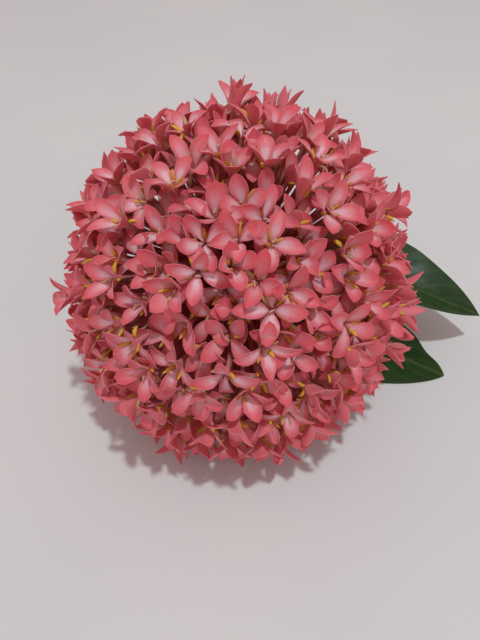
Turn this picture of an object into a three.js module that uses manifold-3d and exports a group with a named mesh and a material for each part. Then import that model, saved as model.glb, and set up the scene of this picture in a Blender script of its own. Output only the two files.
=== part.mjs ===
// A round ixora flower head on a short cut sprig, lying on a level surface (z = 0).
// Millimetres, +Z up. The florets face -Y and up, and the sprig runs back along +Y to its cut end.
// The head is one grown piece. The stem and the four leaves, in two opposite pairs, are pieces of
// their own.

import * as THREE from 'three';
import Module from 'manifold-3d';
import { mergeVertices } from 'three/addons/utils/BufferGeometryUtils.js';

// ---- Flower head ---------------------------------------------------------------------------
// The origin is the middle of the part's footprint, and the head's centre stands over this point.
const HEAD_X = -16.9;
const HEAD_Y = -7.9;
const HEAD_HEIGHT = 47;
const DOME_RISE = 40; // degrees of the head's axis above the horizontal
const DOME_TURN = 10; // and its turn from -Y towards -X
const CAP_ANGLE = 119; // the florets cover the ball out to this angle from its axis
const FLORETS = 112;
const THROAT_RADII = [46, 50, 47.5, 52, 49]; // of the throats from the head's centre, in turn
const PLACE_VARIES = 2; // degrees that a floret stands off its place on the spiral
const CORE_RADIUS = 14; // of the close-branched flower stalk in the middle
const ROOT_RADIUS = 11; // where the corolla tubes are rooted, sunk in the core

// ---- One floret ----------------------------------------------------------------------------
const TUBE_HALF = 0.85; // half width of the corolla tube at its root
const THROAT_HALF = 1.3; // half width under the lobes
const LOBES = 4;
const LOBE_LENGTH = 11.4;
const LOBE_HALF_WIDTH = 3.2;
const LOBE_WAIST = 0.45; // the widest place, as a share of the lobe's length
const LOBE_KEEL = 0.7; // depth of the fold along the lobe's middle
const PETAL = 0.7; // thickness
const CUP_LEAST = 22; // degrees that the lobes rise from the floret's plane
const CUP_MOST = 55;
const CUP_VARIES = 14; // more or less from lobe to lobe
const TIP_BENDS_BACK = 14; // the outer half of a lobe is this much flatter
const NOD_MOST = 14; // degrees that a floret nods from the radial direction
const SPIN_TRIALS = 9; // turns about its tube tried for each floret
const SPIN_ROUNDS = 3;
const NEIGHBOURHOOD = 32; // throats nearer than this are kept clear of
const TOUCH = 0.45; // lobes nearer than this count as touching
const SEED = 33;

// ---- Sprig ---------------------------------------------------------------------------------
// Points of the stem from the head's centre, the last one at the cut end.
const STEM_ROUTE = [[0, 0, 0], [3, 16, -13], [7, 33, -26], [12, 52, -37], [18, 77, -45.2]];
const STEM_RADIUS = 1.75; // under the head
const STEM_END_RADIUS = 2.1; // at the cut
const STEM_NODE_SWELL = 0.9; // where the leaves spring
const STEM_NODE_LENGTH = 0.025; // of a swelling, as a share of the route
const NODE_PLACES = [0.395, 0.655]; // of the two leaf pairs along the route
const STEM_STEPS = 20;
const STEM_SIDES = 10;
const GAP = 0.3; // between pieces that touch

// ---- Leaves --------------------------------------------------------------------------------
// A leaf's route gives points from the head's centre, after its node on the stem. Its face is the
// direction that the upper side looks to. A leaf that lies down keeps above the surface.
const LEAF_THICKNESS = 0.8;
const PETIOLE_HALF = 1.1;
const PETIOLE_SHARE = 0.07; // of the leaf's length
const LEAF_WIDEST = 0.53; // share of the length where the blade is widest
const LEAF_POINTED = 0.75; // 0.5 would give a round tip, 1 a lens
const LEAF_TIP_HALF = 0.4;
const LEAF_STEPS = 14;
const LEAF_PANELS = 4; // across the blade
const LEAVES = [
  {
    name: 'leaf_right', node: 1, halfWidth: 17.5, fold: 16,
    route: [[42, 38, -24], [69, 21, -23], [94.6, 9.6, -32]], face: [0.1, -0.25, 1],
  },
  {
    name: 'leaf_front', node: 0, halfWidth: 20, fold: 5,
    route: [[31, 19, -35], [56, 5.5, -47.9], [80.5, -8.8, -48.2]], face: [0, 0, 1],
  },
  {
    name: 'leaf_back', node: 0, halfWidth: 16, fold: 18,
    route: [[4, 51, -9], [3, 64, 10], [2.6, 70.5, 28]], face: [0, -1, 0.35],
  },
  {
    name: 'leaf_left', node: 1, halfWidth: 18, fold: 6,
    route: [[-14, 46, -41], [-37, 42, -47.6], [-61, 35, -48]], face: [0, 0, 1],
  },
];

// ---- Colours -------------------------------------------------------------------------------
const PETAL_PINK = 0xd9687a;
const LEAF_GREEN = 0x1f5a2c;
const STEM_GREEN = 0x5d6b3a;

const RAD = Math.PI / 180;
const GOLDEN_ANGLE = Math.PI * (3 - Math.sqrt(5));
const UP = new THREE.Vector3(0, 0, 1);
const RIGHT = new THREE.Vector3(1, 0, 0);
const HEAD_CENTRE = new THREE.Vector3(HEAD_X, HEAD_Y, HEAD_HEIGHT);

const wasm = await Module();
wasm.setup();

/** A repeatable draw between 0 and 1, the same on every run. */
function makeDraw(seed) {
  let state = seed;
  return () => {
    state = (state * 16807) % 2147483647;
    return state / 2147483647;
  };
}

/** A closed geometry from points and triangles. */
function closedGeometry(points, triangles) {
  return new THREE.BufferGeometry().setFromPoints(points).setIndex(triangles.flat());
}

/** A geometry as a solid that can be joined and cut. */
function toSolid(geometry) {
  const bare = geometry.clone();
  bare.deleteAttribute('normal');
  bare.deleteAttribute('uv');
  const merged = mergeVertices(bare, 1e-4);
  return new wasm.Manifold(new wasm.Mesh({
    numProp: 3,
    vertProperties: new Float32Array(merged.attributes.position.array),
    triVerts: new Uint32Array(merged.index.array),
  }));
}

/** A joined or cut solid as a geometry again. */
function fromSolid(solid) {
  const mesh = solid.getMesh();
  const geometry = new THREE.BufferGeometry();
  geometry.setAttribute('position', new THREE.BufferAttribute(mesh.vertProperties, 3));
  geometry.setIndex(new THREE.BufferAttribute(mesh.triVerts, 1));
  return geometry;
}

/** Two triangles for a four-sided face, corners in turn seen from outside. */
function quad(a, b, c, d) {
  return [[a, b, c], [a, c, d]];
}

/** Three square axes with z along the given direction. */
function axesAlong(direction) {
  const z = direction.clone().normalize();
  const x = new THREE.Vector3().crossVectors(Math.abs(z.z) < 0.9 ? UP : RIGHT, z).normalize();
  const y = new THREE.Vector3().crossVectors(z, x);
  return { x, y, z };
}

/** The dome's axes: z out through the middle of the florets. */
const DOME = axesAlong(new THREE.Vector3(
  -Math.sin(DOME_TURN * RAD) * Math.cos(DOME_RISE * RAD),
  -Math.cos(DOME_TURN * RAD) * Math.cos(DOME_RISE * RAD),
  Math.sin(DOME_RISE * RAD),
));

/** The unit direction at an angle from the dome's axis and a turn about it. */
function domeDirection(angle, turn) {
  return new THREE.Vector3()
    .addScaledVector(DOME.x, Math.sin(angle) * Math.cos(turn))
    .addScaledVector(DOME.y, Math.sin(angle) * Math.sin(turn))
    .addScaledVector(DOME.z, Math.cos(angle));
}

/** Where the florets stand: a golden-angle spiral over the cap, each place and pose varied a little. */
function layOutFlorets() {
  const draw = makeDraw(SEED);
  const swing = (most) => (2 * draw() - 1) * most;
  return Array.from({ length: FLORETS }, (_, i) => {
    const capHeight = (1 - Math.cos(CAP_ANGLE * RAD)) * ((i + 0.5) / FLORETS);
    const angle = Math.acos(1 - capHeight) + swing(PLACE_VARIES * RAD);
    const turn = i * GOLDEN_ANGLE + swing(PLACE_VARIES * RAD) / Math.max(Math.sin(angle), 0.3);
    const out = domeDirection(angle, turn);
    const side = axesAlong(out);
    const nod = out.clone()
      .addScaledVector(side.x, Math.tan(swing(NOD_MOST) * RAD))
      .addScaledVector(side.y, Math.tan(swing(NOD_MOST) * RAD))
      .normalize();
    const cup = CUP_LEAST + (CUP_MOST - CUP_LEAST) * draw();
    const lifts = Array.from({ length: LOBES }, () => cup + swing(CUP_VARIES));
    const throat = out.clone().multiplyScalar(THROAT_RADII[i % THROAT_RADII.length]).add(HEAD_CENTRE);
    return { out, throat, nod, lifts, spin: 0, probes: [] };
  });
}

/** The middle line of one lobe, and the directions across it and out of its upper face. */
function lobeLine(floret, k) {
  const { x, y } = axesAlong(floret.nod);
  const turn = floret.spin + k * (2 * Math.PI / LOBES);
  const away = x.multiplyScalar(Math.cos(turn)).addScaledVector(y, Math.sin(turn));
  const rising = (lift) => away.clone().multiplyScalar(Math.cos(lift * RAD))
    .addScaledVector(floret.nod, Math.sin(lift * RAD));
  const inner = rising(floret.lifts[k]);
  const outer = rising(floret.lifts[k] - TIP_BENDS_BACK);
  const across = new THREE.Vector3().crossVectors(floret.nod, away);
  const waist = floret.throat.clone().addScaledVector(away, THROAT_HALF)
    .addScaledVector(inner, LOBE_LENGTH * LOBE_WAIST);
  const tip = waist.clone().addScaledVector(outer, LOBE_LENGTH * (1 - LOBE_WAIST));
  return { waist, tip, across, face: new THREE.Vector3().crossVectors(inner, across) };
}

/** Points over each lobe, for keeping florets apart. */
function lobeProbes(floret) {
  return floret.lifts.flatMap((_, k) => {
    const { waist, tip, across } = lobeLine(floret, k);
    const edges = [-1, 1].map((side) => waist.clone().addScaledVector(across, side * LOBE_HALF_WIDTH));
    return [...edges, waist, waist.clone().lerp(tip, 0.5), tip];
  });
}

/** How closely two sets of points crowd each other. */
function crowding(points, others) {
  let sum = 0;
  points.forEach((p) => others.forEach((q) => {
    sum += 1 / (TOUCH ** 2 + p.distanceToSquared(q)) ** 2;
  }));
  return sum;
}

/**
 * Turns each floret about its tube, one after another and round again, to the trial turn that
 * crowds its neighbours least.
 */
function turnApart(florets) {
  for (let round = 0; round < SPIN_ROUNDS; round += 1) {
    florets.forEach((floret) => {
      const rivals = florets
        .filter((other) => other !== floret && other.throat.distanceTo(floret.throat) < NEIGHBOURHOOD)
        .flatMap((other) => other.probes);
      const trials = Array.from({ length: SPIN_TRIALS }, (_, t) => {
        const spin = (t / SPIN_TRIALS) * (2 * Math.PI / LOBES);
        const probes = lobeProbes({ ...floret, spin });
        return { spin, probes, crowd: crowding(probes, rivals) };
      });
      const { spin, probes } = trials.reduce((best, trial) => (trial.crowd < best.crowd ? trial : best));
      Object.assign(floret, { spin, probes });
    });
  }
  return florets;
}

/** The least heights of a petal's upper and lower face: the one that looks down can lie at z = 0. */
function restHeights(face) {
  return face.z < 0 ? [0, PETAL] : [PETAL, 0];
}

/**
 * A floret as one closed body: a square tapering tube, a throat, and four pointed lobes folded
 * along the middle and bent across at the waist. What would reach through the surface lies flat
 * on it.
 */
function floretGeometry(floret) {
  const points = [];
  const triangles = [];
  const add = (p, rest = 0) => points.push(new THREE.Vector3(p.x, p.y, Math.max(p.z, rest))) - 1;
  const { x, y } = axesAlong(floret.nod);
  const ring = (centre, half, rest) => Array.from({ length: LOBES }, (_, k) => {
    const turn = floret.spin + (k + 0.5) * (2 * Math.PI / LOBES);
    return add(centre.clone()
      .addScaledVector(x, half * Math.SQRT2 * Math.cos(turn))
      .addScaledVector(y, half * Math.SQRT2 * Math.sin(turn)), rest);
  });
  const root = ring(floret.out.clone().multiplyScalar(ROOT_RADIUS).add(HEAD_CENTRE), TUBE_HALF, 0);
  const [overRest, underRest] = restHeights(floret.nod);
  const under = ring(floret.throat.clone().addScaledVector(floret.nod, -PETAL), THROAT_HALF, underRest);
  const over = ring(floret.throat, THROAT_HALF, overRest);
  triangles.push([root[0], root[2], root[1]], [root[0], root[3], root[2]]);
  triangles.push([over[0], over[1], over[2]], [over[0], over[2], over[3]]);

  for (let k = 0; k < LOBES; k += 1) {
    const before = (k + LOBES - 1) % LOBES;
    triangles.push(...quad(root[before], root[k], under[k], under[before]));
    const { waist, tip, across, face } = lobeLine(floret, k);
    const fold = [-1, 0, 1].map((side) => waist.clone()
      .addScaledVector(across, side * LOBE_HALF_WIDTH)
      .addScaledVector(face, LOBE_KEEL * (Math.abs(side) - 1)));
    const [topRest, lowRest] = restHeights(face);
    const [rightTop, midTop, leftTop] = fold.map((p) => add(p, topRest));
    const [rightLow, midLow, leftLow] = fold.map((p) => add(p.addScaledVector(face, -PETAL), lowRest));
    const end = add(tip);
    // The upper face, the lower face, then the edge all round.
    triangles.push([over[before], rightTop, midTop], [over[before], midTop, over[k]]);
    triangles.push([over[k], midTop, leftTop], [rightTop, end, midTop], [midTop, end, leftTop]);
    triangles.push([under[before], midLow, rightLow], [under[before], under[k], midLow]);
    triangles.push([under[k], leftLow, midLow], [rightLow, midLow, end], [midLow, leftLow, end]);
    triangles.push(...quad(under[before], rightLow, rightTop, over[before]), [rightLow, end, rightTop]);
    triangles.push(...quad(under[k], over[k], leftTop, leftLow), [leftLow, leftTop, end]);
  }
  return closedGeometry(points, triangles);
}

/** The whole head: the core with every floret rooted in it. */
function flowerHead() {
  const core = new THREE.IcosahedronGeometry(CORE_RADIUS, 1).translate(...HEAD_CENTRE.toArray());
  const head = turnApart(layOutFlorets()).reduce(
    (whole, floret) => whole.add(toSolid(floretGeometry(floret))),
    toSolid(core),
  );
  return fromSolid(head);
}

/** A closed body through rings of points of the same count, with a fan over each end. */
function throughRings(rings) {
  const count = rings[0].length;
  const points = rings.flat();
  const triangles = [];
  for (let i = 0; i + 1 < rings.length; i += 1) {
    for (let j = 0; j < count; j += 1) {
      const a = i * count + j;
      const b = i * count + (j + 1) % count;
      triangles.push(...quad(a, b, b + count, a + count));
    }
  }
  const last = (rings.length - 1) * count;
  for (let j = 1; j + 1 < count; j += 1) {
    triangles.push([0, j + 1, j], [last, last + j, last + j + 1]);
  }
  return closedGeometry(points, triangles);
}

const stemCurve = new THREE.CatmullRomCurve3(
  STEM_ROUTE.map((p) => new THREE.Vector3(...p).add(HEAD_CENTRE)),
  false,
  'centripetal',
);

/** The stem's radius at a share of its length: thicker at the cut, and swollen at the leaf pairs. */
function stemRadius(share) {
  const swell = NODE_PLACES.reduce(
    (sum, place) => sum + Math.exp(-(((share - place) / STEM_NODE_LENGTH) ** 2)),
    0,
  );
  return THREE.MathUtils.lerp(STEM_RADIUS, STEM_END_RADIUS, share) + STEM_NODE_SWELL * swell;
}

/** The stem from just under the core to its cut end. */
function stemGeometry() {
  const start = (CORE_RADIUS + GAP) / stemCurve.getLength();
  const rings = Array.from({ length: STEM_STEPS + 1 }, (_, i) => {
    const share = start + (1 - start) * (i / STEM_STEPS);
    const centre = stemCurve.getPointAt(share);
    const { x, y } = axesAlong(stemCurve.getTangentAt(share));
    return Array.from({ length: STEM_SIDES }, (__, j) => {
      const turn = j * (2 * Math.PI / STEM_SIDES);
      const p = centre.clone()
        .addScaledVector(x, stemRadius(share) * Math.cos(turn))
        .addScaledVector(y, stemRadius(share) * Math.sin(turn));
      p.z = Math.max(p.z, 0);
      return p;
    });
  });
  return throughRings(rings);
}

/** Half the width of a leaf at a share of its length: petiole, wedge-shaped foot, blunt pointed tip. */
function leafHalfWidth(share, most) {
  if (share < PETIOLE_SHARE) return PETIOLE_HALF;
  const across = share < LEAF_WIDEST
    ? (LEAF_WIDEST - share) / (LEAF_WIDEST - PETIOLE_SHARE)
    : (share - LEAF_WIDEST) / (1 - LEAF_WIDEST);
  const least = share < LEAF_WIDEST ? PETIOLE_HALF : LEAF_TIP_HALF;
  return Math.max(most * (1 - across ** 2) ** LEAF_POINTED, least);
}

/** A leaf: a thin blade folded along its midrib, on a short stout petiole. */
function leafGeometry({ node, halfWidth, fold, route, face }) {
  const share = NODE_PLACES[node];
  const foot = stemCurve.getPointAt(share);
  const stops = route.map((p) => new THREE.Vector3(...p).add(HEAD_CENTRE));
  const away = stops[0].clone().sub(foot).projectOnPlane(stemCurve.getTangentAt(share)).normalize();
  const start = foot.clone().addScaledVector(away, stemRadius(share) + GAP);
  const curve = new THREE.CatmullRomCurve3([start, ...stops], false, 'centripetal');
  const rings = Array.from({ length: LEAF_STEPS + 1 }, (_, i) => {
    const s = i / LEAF_STEPS;
    const along = i === 0 ? away : curve.getTangentAt(s);
    const side = new THREE.Vector3().crossVectors(along, new THREE.Vector3(...face)).normalize();
    const up = new THREE.Vector3().crossVectors(side, along);
    const half = leafHalfWidth(s, halfWidth);
    const thinning = Math.min(s / (2 * PETIOLE_SHARE), 1);
    const thick = THREE.MathUtils.lerp(2 * PETIOLE_HALF, LEAF_THICKNESS, thinning);
    const row = (height, rest) => Array.from({ length: LEAF_PANELS + 1 }, (__, j) => {
      const t = (2 * j) / LEAF_PANELS - 1;
      const p = curve.getPointAt(s)
        .addScaledVector(side, t * half)
        .addScaledVector(up, Math.abs(t) * half * Math.tan(fold * RAD) + height);
      p.z = Math.max(p.z, rest);
      return p;
    });
    return [...row(thick / 2, thick), ...row(-thick / 2, 0).reverse()];
  });
  return bladeThroughRings(rings);
}

/**
 * A closed body through flat rings, each an upper row and a lower row, with strips over both ends.
 * Both faces are split into triangles along the same slant.
 */
function bladeThroughRings(rings) {
  const count = rings[0].length;
  const points = rings.flat();
  const triangles = [];
  for (let i = 0; i + 1 < rings.length; i += 1) {
    for (let j = 0; j < count; j += 1) {
      const a = i * count + j;
      const b = i * count + (j + 1) % count;
      triangles.push(...(j < count / 2
        ? quad(a, b, b + count, a + count)
        : quad(b, b + count, a + count, a)));
    }
  }
  const last = (rings.length - 1) * count;
  for (let j = 0; j + 1 < count / 2; j += 1) {
    const facing = count - 1 - j;
    triangles.push(...quad(j, facing, facing - 1, j + 1));
    triangles.push(...quad(last + j, last + j + 1, last + facing - 1, last + facing));
  }
  return closedGeometry(points, triangles);
}

/** A named piece with its own material. */
function piece(name, geometry, color, roughness) {
  const material = new THREE.MeshStandardMaterial({ color, roughness, metalness: 0 });
  const mesh = new THREE.Mesh(geometry, material);
  mesh.name = name;
  return mesh;
}

const group = new THREE.Group();
group.add(piece('flower_head', flowerHead(), PETAL_PINK, 0.6));
group.add(piece('stem', stemGeometry(), STEM_GREEN, 0.7));
LEAVES.forEach((leaf) => group.add(piece(leaf.name, leafGeometry(leaf), LEAF_GREEN, 0.35)));

export default group;
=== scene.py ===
"""A pink ixora flower head on a short cut sprig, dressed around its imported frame.

The classes hold their sizes in millimetres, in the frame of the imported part: +Z up from the surface
that the sprig lies on, -Y to the side that the florets face. A mesh is brought to metres when it is
made. Directions and angles are worked out as whole arrays over all florets at once.
"""

from __future__ import annotations

import logging
import math
from dataclasses import dataclass, field, fields
from enum import Enum
from typing import Any, Sequence, Union

import bpy
import numpy as np
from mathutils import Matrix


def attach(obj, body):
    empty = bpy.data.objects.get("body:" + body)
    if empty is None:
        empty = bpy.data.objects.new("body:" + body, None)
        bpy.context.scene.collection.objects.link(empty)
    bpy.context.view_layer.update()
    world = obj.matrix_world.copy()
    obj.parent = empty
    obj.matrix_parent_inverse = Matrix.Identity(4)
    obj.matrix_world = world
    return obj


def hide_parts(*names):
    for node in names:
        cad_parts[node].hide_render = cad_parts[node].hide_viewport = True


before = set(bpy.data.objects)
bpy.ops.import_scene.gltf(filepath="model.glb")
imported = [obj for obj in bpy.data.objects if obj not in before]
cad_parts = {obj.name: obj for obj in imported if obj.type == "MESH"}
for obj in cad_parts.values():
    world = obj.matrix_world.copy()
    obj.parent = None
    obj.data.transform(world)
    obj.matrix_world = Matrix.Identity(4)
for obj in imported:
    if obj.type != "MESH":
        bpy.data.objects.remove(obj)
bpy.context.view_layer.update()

LOG = logging.getLogger("ixora")
METRES = 0.001  # in a millimetre
GOLDEN_ANGLE = math.pi * (3.0 - math.sqrt(5.0))
LOBES = 4  # of a floret
LOBE_TURN = 2.0 * math.pi / LOBES  # from one lobe to the next
Array = np.ndarray
Point = tuple[float, float, float]
Colour = tuple[float, float, float]
Span = tuple[float, float]  # from the least to the most


class Node(str, Enum):
    """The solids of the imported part."""

    HEAD = "flower_head"
    STEM = "stem"
    LEAF_RIGHT = "leaf_right"
    LEAF_FRONT = "leaf_front"
    LEAF_BACK = "leaf_back"
    LEAF_LEFT = "leaf_left"


class Slot(str, Enum):
    """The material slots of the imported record."""

    PETALS = "petals"
    LEAF = "leaf"
    STEM = "stem"


class Quarter(str, Enum):
    """The petal pieces, one for each quarter turn from behind the head round by its left."""

    BACK_LEFT = "petals_back_left"
    LEFT = "petals_left"
    RIGHT = "petals_right"
    BACK_RIGHT = "petals_back_right"


class Cells(str, Enum):
    """What a pattern of cells measures."""

    FROM_POINT = "F1"
    FROM_BORDER = "DISTANCE_TO_EDGE"


# ---- Shapes on arrays ----------------------------------------------------------------------------


def unit(vectors: Array) -> Array:
    """Each vector divided by its own length."""
    return vectors / np.maximum(np.linalg.norm(vectors, axis=-1, keepdims=True), 1e-12)


def axes_along(direction: Array) -> tuple[Array, Array]:
    """Two directions square to each given one.

    The first is up x direction, or +X x direction where that is nearly upright, and the second is
    direction x first, so that first x second = direction.

    Args:
        direction: Unit vectors, shape (..., 3).

    Returns:
        The two directions, each of the same shape.
    """
    upright = np.abs(direction[..., 2:3]) >= 0.9
    helper = np.where(upright, np.array([1.0, 0.0, 0.0]), np.array([0.0, 0.0, 1.0]))
    first = unit(np.cross(helper, direction))
    return first, np.cross(direction, first)


def swung(first: Array, second: Array, angle: Array) -> Array:
    """first * cos(angle) + second * sin(angle), where each angle meets a vector."""
    return first * np.cos(angle)[..., None] + second * np.sin(angle)[..., None]


def climbed(slope: Array, step: Array) -> tuple[Array, Array]:
    """How far out and how high paths get: running sums of cos and sin of slope, times step."""
    return np.cumsum(np.cos(slope) * step, axis=1), np.cumsum(np.sin(slope) * step, axis=1)


def settle(points: Array, rest: Array | float, softness: float) -> Array:
    """Points kept above the surface, in their order of height.

    A height becomes rest + softness * log(1 + exp((height - rest) / softness)): far above the
    surface it stays, and below it it flattens out just over rest.

    Args:
        points: Shape (..., 3).
        rest: The height that the lowest points come down to, which broadcasts to the heights.
        softness: How far above rest a point begins to feel the surface.

    Returns:
        The settled points, of the same shape.
    """
    out = points.copy()
    out[..., 2] = rest + softness * np.logaddexp(0.0, (points[..., 2] - rest) / softness)
    return out


@dataclass
class Surface:
    """Points in millimetres, faces and named point marks of one or many closed forms."""

    points: Array
    faces: list[Array]
    marks: dict[str, Array] = field(default_factory=dict)

    @staticmethod
    def joined(parts: Sequence["Surface"]) -> "Surface":
        """All parts as one, which keeps the marks that every part has.

        Args:
            parts: The surfaces, in the order that their points take.

        Returns:
            The joined surface.
        """
        starts = np.cumsum([0] + [len(p.points) for p in parts[:-1]])
        names = set.intersection(*(set(p.marks) for p in parts))
        return Surface(
            np.concatenate([p.points for p in parts]),
            [f + start for p, start in zip(parts, starts) for f in p.faces],
            {n: np.concatenate([p.marks[n] for p in parts]) for n in sorted(names)},
        )


def repeated(faces: Array, count: int, stride: int) -> Array:
    """One form's faces for count forms, whose points follow each other stride apart."""
    steps = np.arange(count)[:, None, None] * stride
    return (faces[None] + steps).reshape(-1, faces.shape[1])


def thin_shells(middle: Array, thick: Array, marks: dict[str, Array]) -> Surface:
    """Closed thin shells around middle surfaces, each a grid of rows along and columns across.

    The normal is the slope along x the slope across. The upper face is middle + normal * thick / 2,
    the lower face is middle - normal * thick / 2, and a strip all round the border joins them.

    Args:
        middle: Shape (forms, rows, columns, 3).
        thick: The thickness, which broadcasts to (forms, rows, columns).
        marks: Named values that broadcast to (forms, rows, columns).

    Returns:
        The shells, with the marks and one more, "upper": 1 on the upper face and 0 on the lower.
    """
    count, rows, columns, _ = middle.shape
    normal = unit(np.cross(np.gradient(middle, axis=1), np.gradient(middle, axis=2)))
    offset = normal * (np.broadcast_to(thick, middle.shape[:3])[..., None] / 2.0)
    points = np.stack([middle + offset, middle - offset], axis=1)

    index = np.arange(rows * columns).reshape(rows, columns)
    corners = [index[:-1, :-1], index[1:, :-1], index[1:, 1:], index[:-1, 1:]]
    upper = np.stack(corners, axis=-1).reshape(-1, 4)
    lower = upper[:, ::-1] + rows * columns
    loop = np.concatenate([index[:-1, 0], index[-1, :-1], index[:0:-1, -1], index[0, :0:-1]])
    after = np.roll(loop, -1)
    rim = np.stack([after, loop, loop + rows * columns, after + rows * columns], axis=-1)
    faces = repeated(np.concatenate([upper, lower, rim]), count, 2 * rows * columns)

    both = (count, 2, rows, columns)
    spread = {
        name: np.broadcast_to(np.asarray(values)[:, None], both).reshape(-1)
        for name, values in marks.items()
    }
    side = np.broadcast_to(np.array([1.0, 0.0])[None, :, None, None], both).reshape(-1)
    return Surface(points.reshape(-1, 3), [faces], {**spread, "upper": side})


def swept(
    centres: Array, radii: Array, sides: int, marks: dict[str, Array], flat: Array | None = None
) -> Surface:
    """Closed round forms carried along paths.

    A ring's point is centre + radius * (first * cos(turn) + second * sin(turn)), where first and
    second are square to the path. Both ends are closed by a face of the ring's own corners.

    Args:
        centres: Shape (forms, rings, 3). A ring may go back inside the one before it, as in a
            funnel, as long as the path's first and last quarter point the same way.
        radii: Shape (forms, rings).
        sides: Corners of a ring.
        marks: Named values that broadcast to (forms, rings, sides).
        flat: Scales second, to flatten the section. Broadcasts to (forms, rings).

    Returns:
        The forms, with a mark "round": the share of a turn around the ring.
    """
    count, rings, _ = centres.shape
    slope = np.gradient(centres, axis=1)
    whole = (centres[:, -1] - centres[:, 0])[:, None]
    facing = np.sign((slope * whole).sum(-1, keepdims=True))
    along = unit(slope * np.where(facing == 0, 1.0, facing) + 1e-6 * unit(whole))
    helper, _ = axes_along(unit(whole))
    first = unit(helper - along * (helper * along).sum(-1, keepdims=True))
    second = np.cross(along, first)
    turn = np.arange(sides) / sides * 2.0 * math.pi
    squash = np.ones((count, rings)) if flat is None else np.broadcast_to(flat, (count, rings))
    ring = (
        first[:, :, None] * np.cos(turn)[:, None]
        + second[:, :, None] * np.sin(turn)[:, None] * squash[:, :, None, None]
    )
    points = centres[:, :, None] + ring * radii[:, :, None, None]

    index = np.arange(rings * sides).reshape(rings, sides)
    beside = np.roll(index, -1, axis=1)
    wall = np.stack([index[:-1], beside[:-1], beside[1:], index[1:]], axis=-1).reshape(-1, 4)
    ends = np.stack([index[0, ::-1], index[-1]])
    shape = (count, rings, sides)
    spread = {k: np.broadcast_to(v, shape).reshape(-1) for k, v in marks.items()}
    spread["round"] = np.broadcast_to(turn / (2.0 * math.pi), shape).reshape(-1)
    return Surface(
        points.reshape(-1, 3),
        [repeated(wall, count, rings * sides), repeated(ends, count, rings * sides)],
        spread,
    )


class Route:
    """A smooth curve through points, read by the share of its length.

    It is the centripetal Catmull-Rom spline: the knots are spaced by the square root of the
    distance between points, and both ends go on in a straight line.
    """

    SAMPLES = 160  # in each span
    HALF_CHORD = 5e-4  # share of the length before and after a place, for the slope there

    def __init__(self, stops: Array) -> None:
        """Works out the curve as many short chords.

        Between two stops it is the cubic that has their places and the spline's velocities, which
        come from the knot gaps g0, g1 and g2 before, between and after them.

        Args:
            stops: The points that the curve goes through, shape (n, 3).
        """
        p = np.concatenate([2 * stops[:1] - stops[1:2], stops, 2 * stops[-1:] - stops[-2:-1]])
        gap = np.sqrt(np.linalg.norm(np.diff(p, axis=0), axis=-1, keepdims=True))
        g0, g1, g2 = gap[:-2], gap[1:-1], gap[2:]
        a, b, c, d = p[:-3], p[1:-2], p[2:-1], p[3:]
        leave = ((b - a) / g0 - (c - a) / (g0 + g1) + (c - b) / g1) * g1
        enter = ((c - b) / g1 - (d - b) / (g1 + g2) + (d - c) / g2) * g1
        t = np.linspace(0.0, 1.0, self.SAMPLES)[:, None, None]
        spans = (
            b + leave * t
            + (3 * (c - b) - 2 * leave - enter) * t**2
            + (2 * (b - c) + leave + enter) * t**3
        )
        dense = spans.transpose(1, 0, 2).reshape(-1, 3)
        step = np.linalg.norm(np.diff(dense, axis=0), axis=-1)
        keep = np.concatenate([[True], step > 1e-9])
        self.points = dense[keep]
        steps = np.linalg.norm(np.diff(self.points, axis=0), axis=-1)
        self.run = np.concatenate([[0.0], np.cumsum(steps)])
        self.length = float(self.run[-1])

    def at(self, share: Array | float) -> Array:
        """The points at these shares of the length."""
        run = np.atleast_1d(share) * self.length
        return np.stack([np.interp(run, self.run, self.points[:, k]) for k in range(3)], axis=-1)

    def slope(self, share: Array | float) -> Array:
        """The unit directions at these shares: the chord over a thousandth of the length.

        Args:
            share: Shares of the length.

        Returns:
            The directions, shape (shares, 3).
        """
        before = np.maximum(np.atleast_1d(share) - self.HALF_CHORD, 0.0)
        after = np.minimum(np.atleast_1d(share) + self.HALF_CHORD, 1.0)
        return unit(self.at(after) - self.at(before))


# ---- Materials -----------------------------------------------------------------------------------


class Value:
    """One output of a material's node, with arithmetic that adds Math nodes."""

    def __init__(self, tree: "Tree", socket: bpy.types.NodeSocket) -> None:
        """Stands for this output socket, among the nodes of this tree."""
        self.tree = tree
        self.socket = socket

    def _math(self, operation: str, *values: Union["Value", float]) -> "Value":
        """A Math node over the given values."""
        return self.tree.add("ShaderNodeMath", {"operation": operation}, dict(enumerate(values)))

    def __add__(self, other: Union["Value", float]) -> "Value":
        """The sum."""
        return self._math("ADD", self, other)

    __radd__ = __add__

    def __mul__(self, other: Union["Value", float]) -> "Value":
        """The product."""
        return self._math("MULTIPLY", self, other)

    __rmul__ = __mul__

    def __sub__(self, other: Union["Value", float]) -> "Value":
        """The difference."""
        return self._math("SUBTRACT", self, other)

    def __rsub__(self, other: float) -> "Value":
        """The difference from a number."""
        return self._math("SUBTRACT", other, self)

    def __abs__(self) -> "Value":
        """The size without its sign."""
        return self._math("ABSOLUTE", self)

    def sine(self) -> "Value":
        """The sine of this angle in radians."""
        return self._math("SINE", self)

    def stripes(self) -> "Value":
        """Soft stripes from 0 to 1: half the sine of this angle in radians, and a half."""
        return self.sine() * 0.5 + 0.5

    def smooth(self, low: float, high: float) -> "Value":
        """0 below low, 1 above high, and an S-shaped rise between."""
        sockets = {"Value": self, "From Min": low, "From Max": high}
        return self.tree.add("ShaderNodeMapRange", {"interpolation_type": "SMOOTHSTEP"}, sockets)


Input = Union[Value, float, Sequence[float]]


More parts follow.
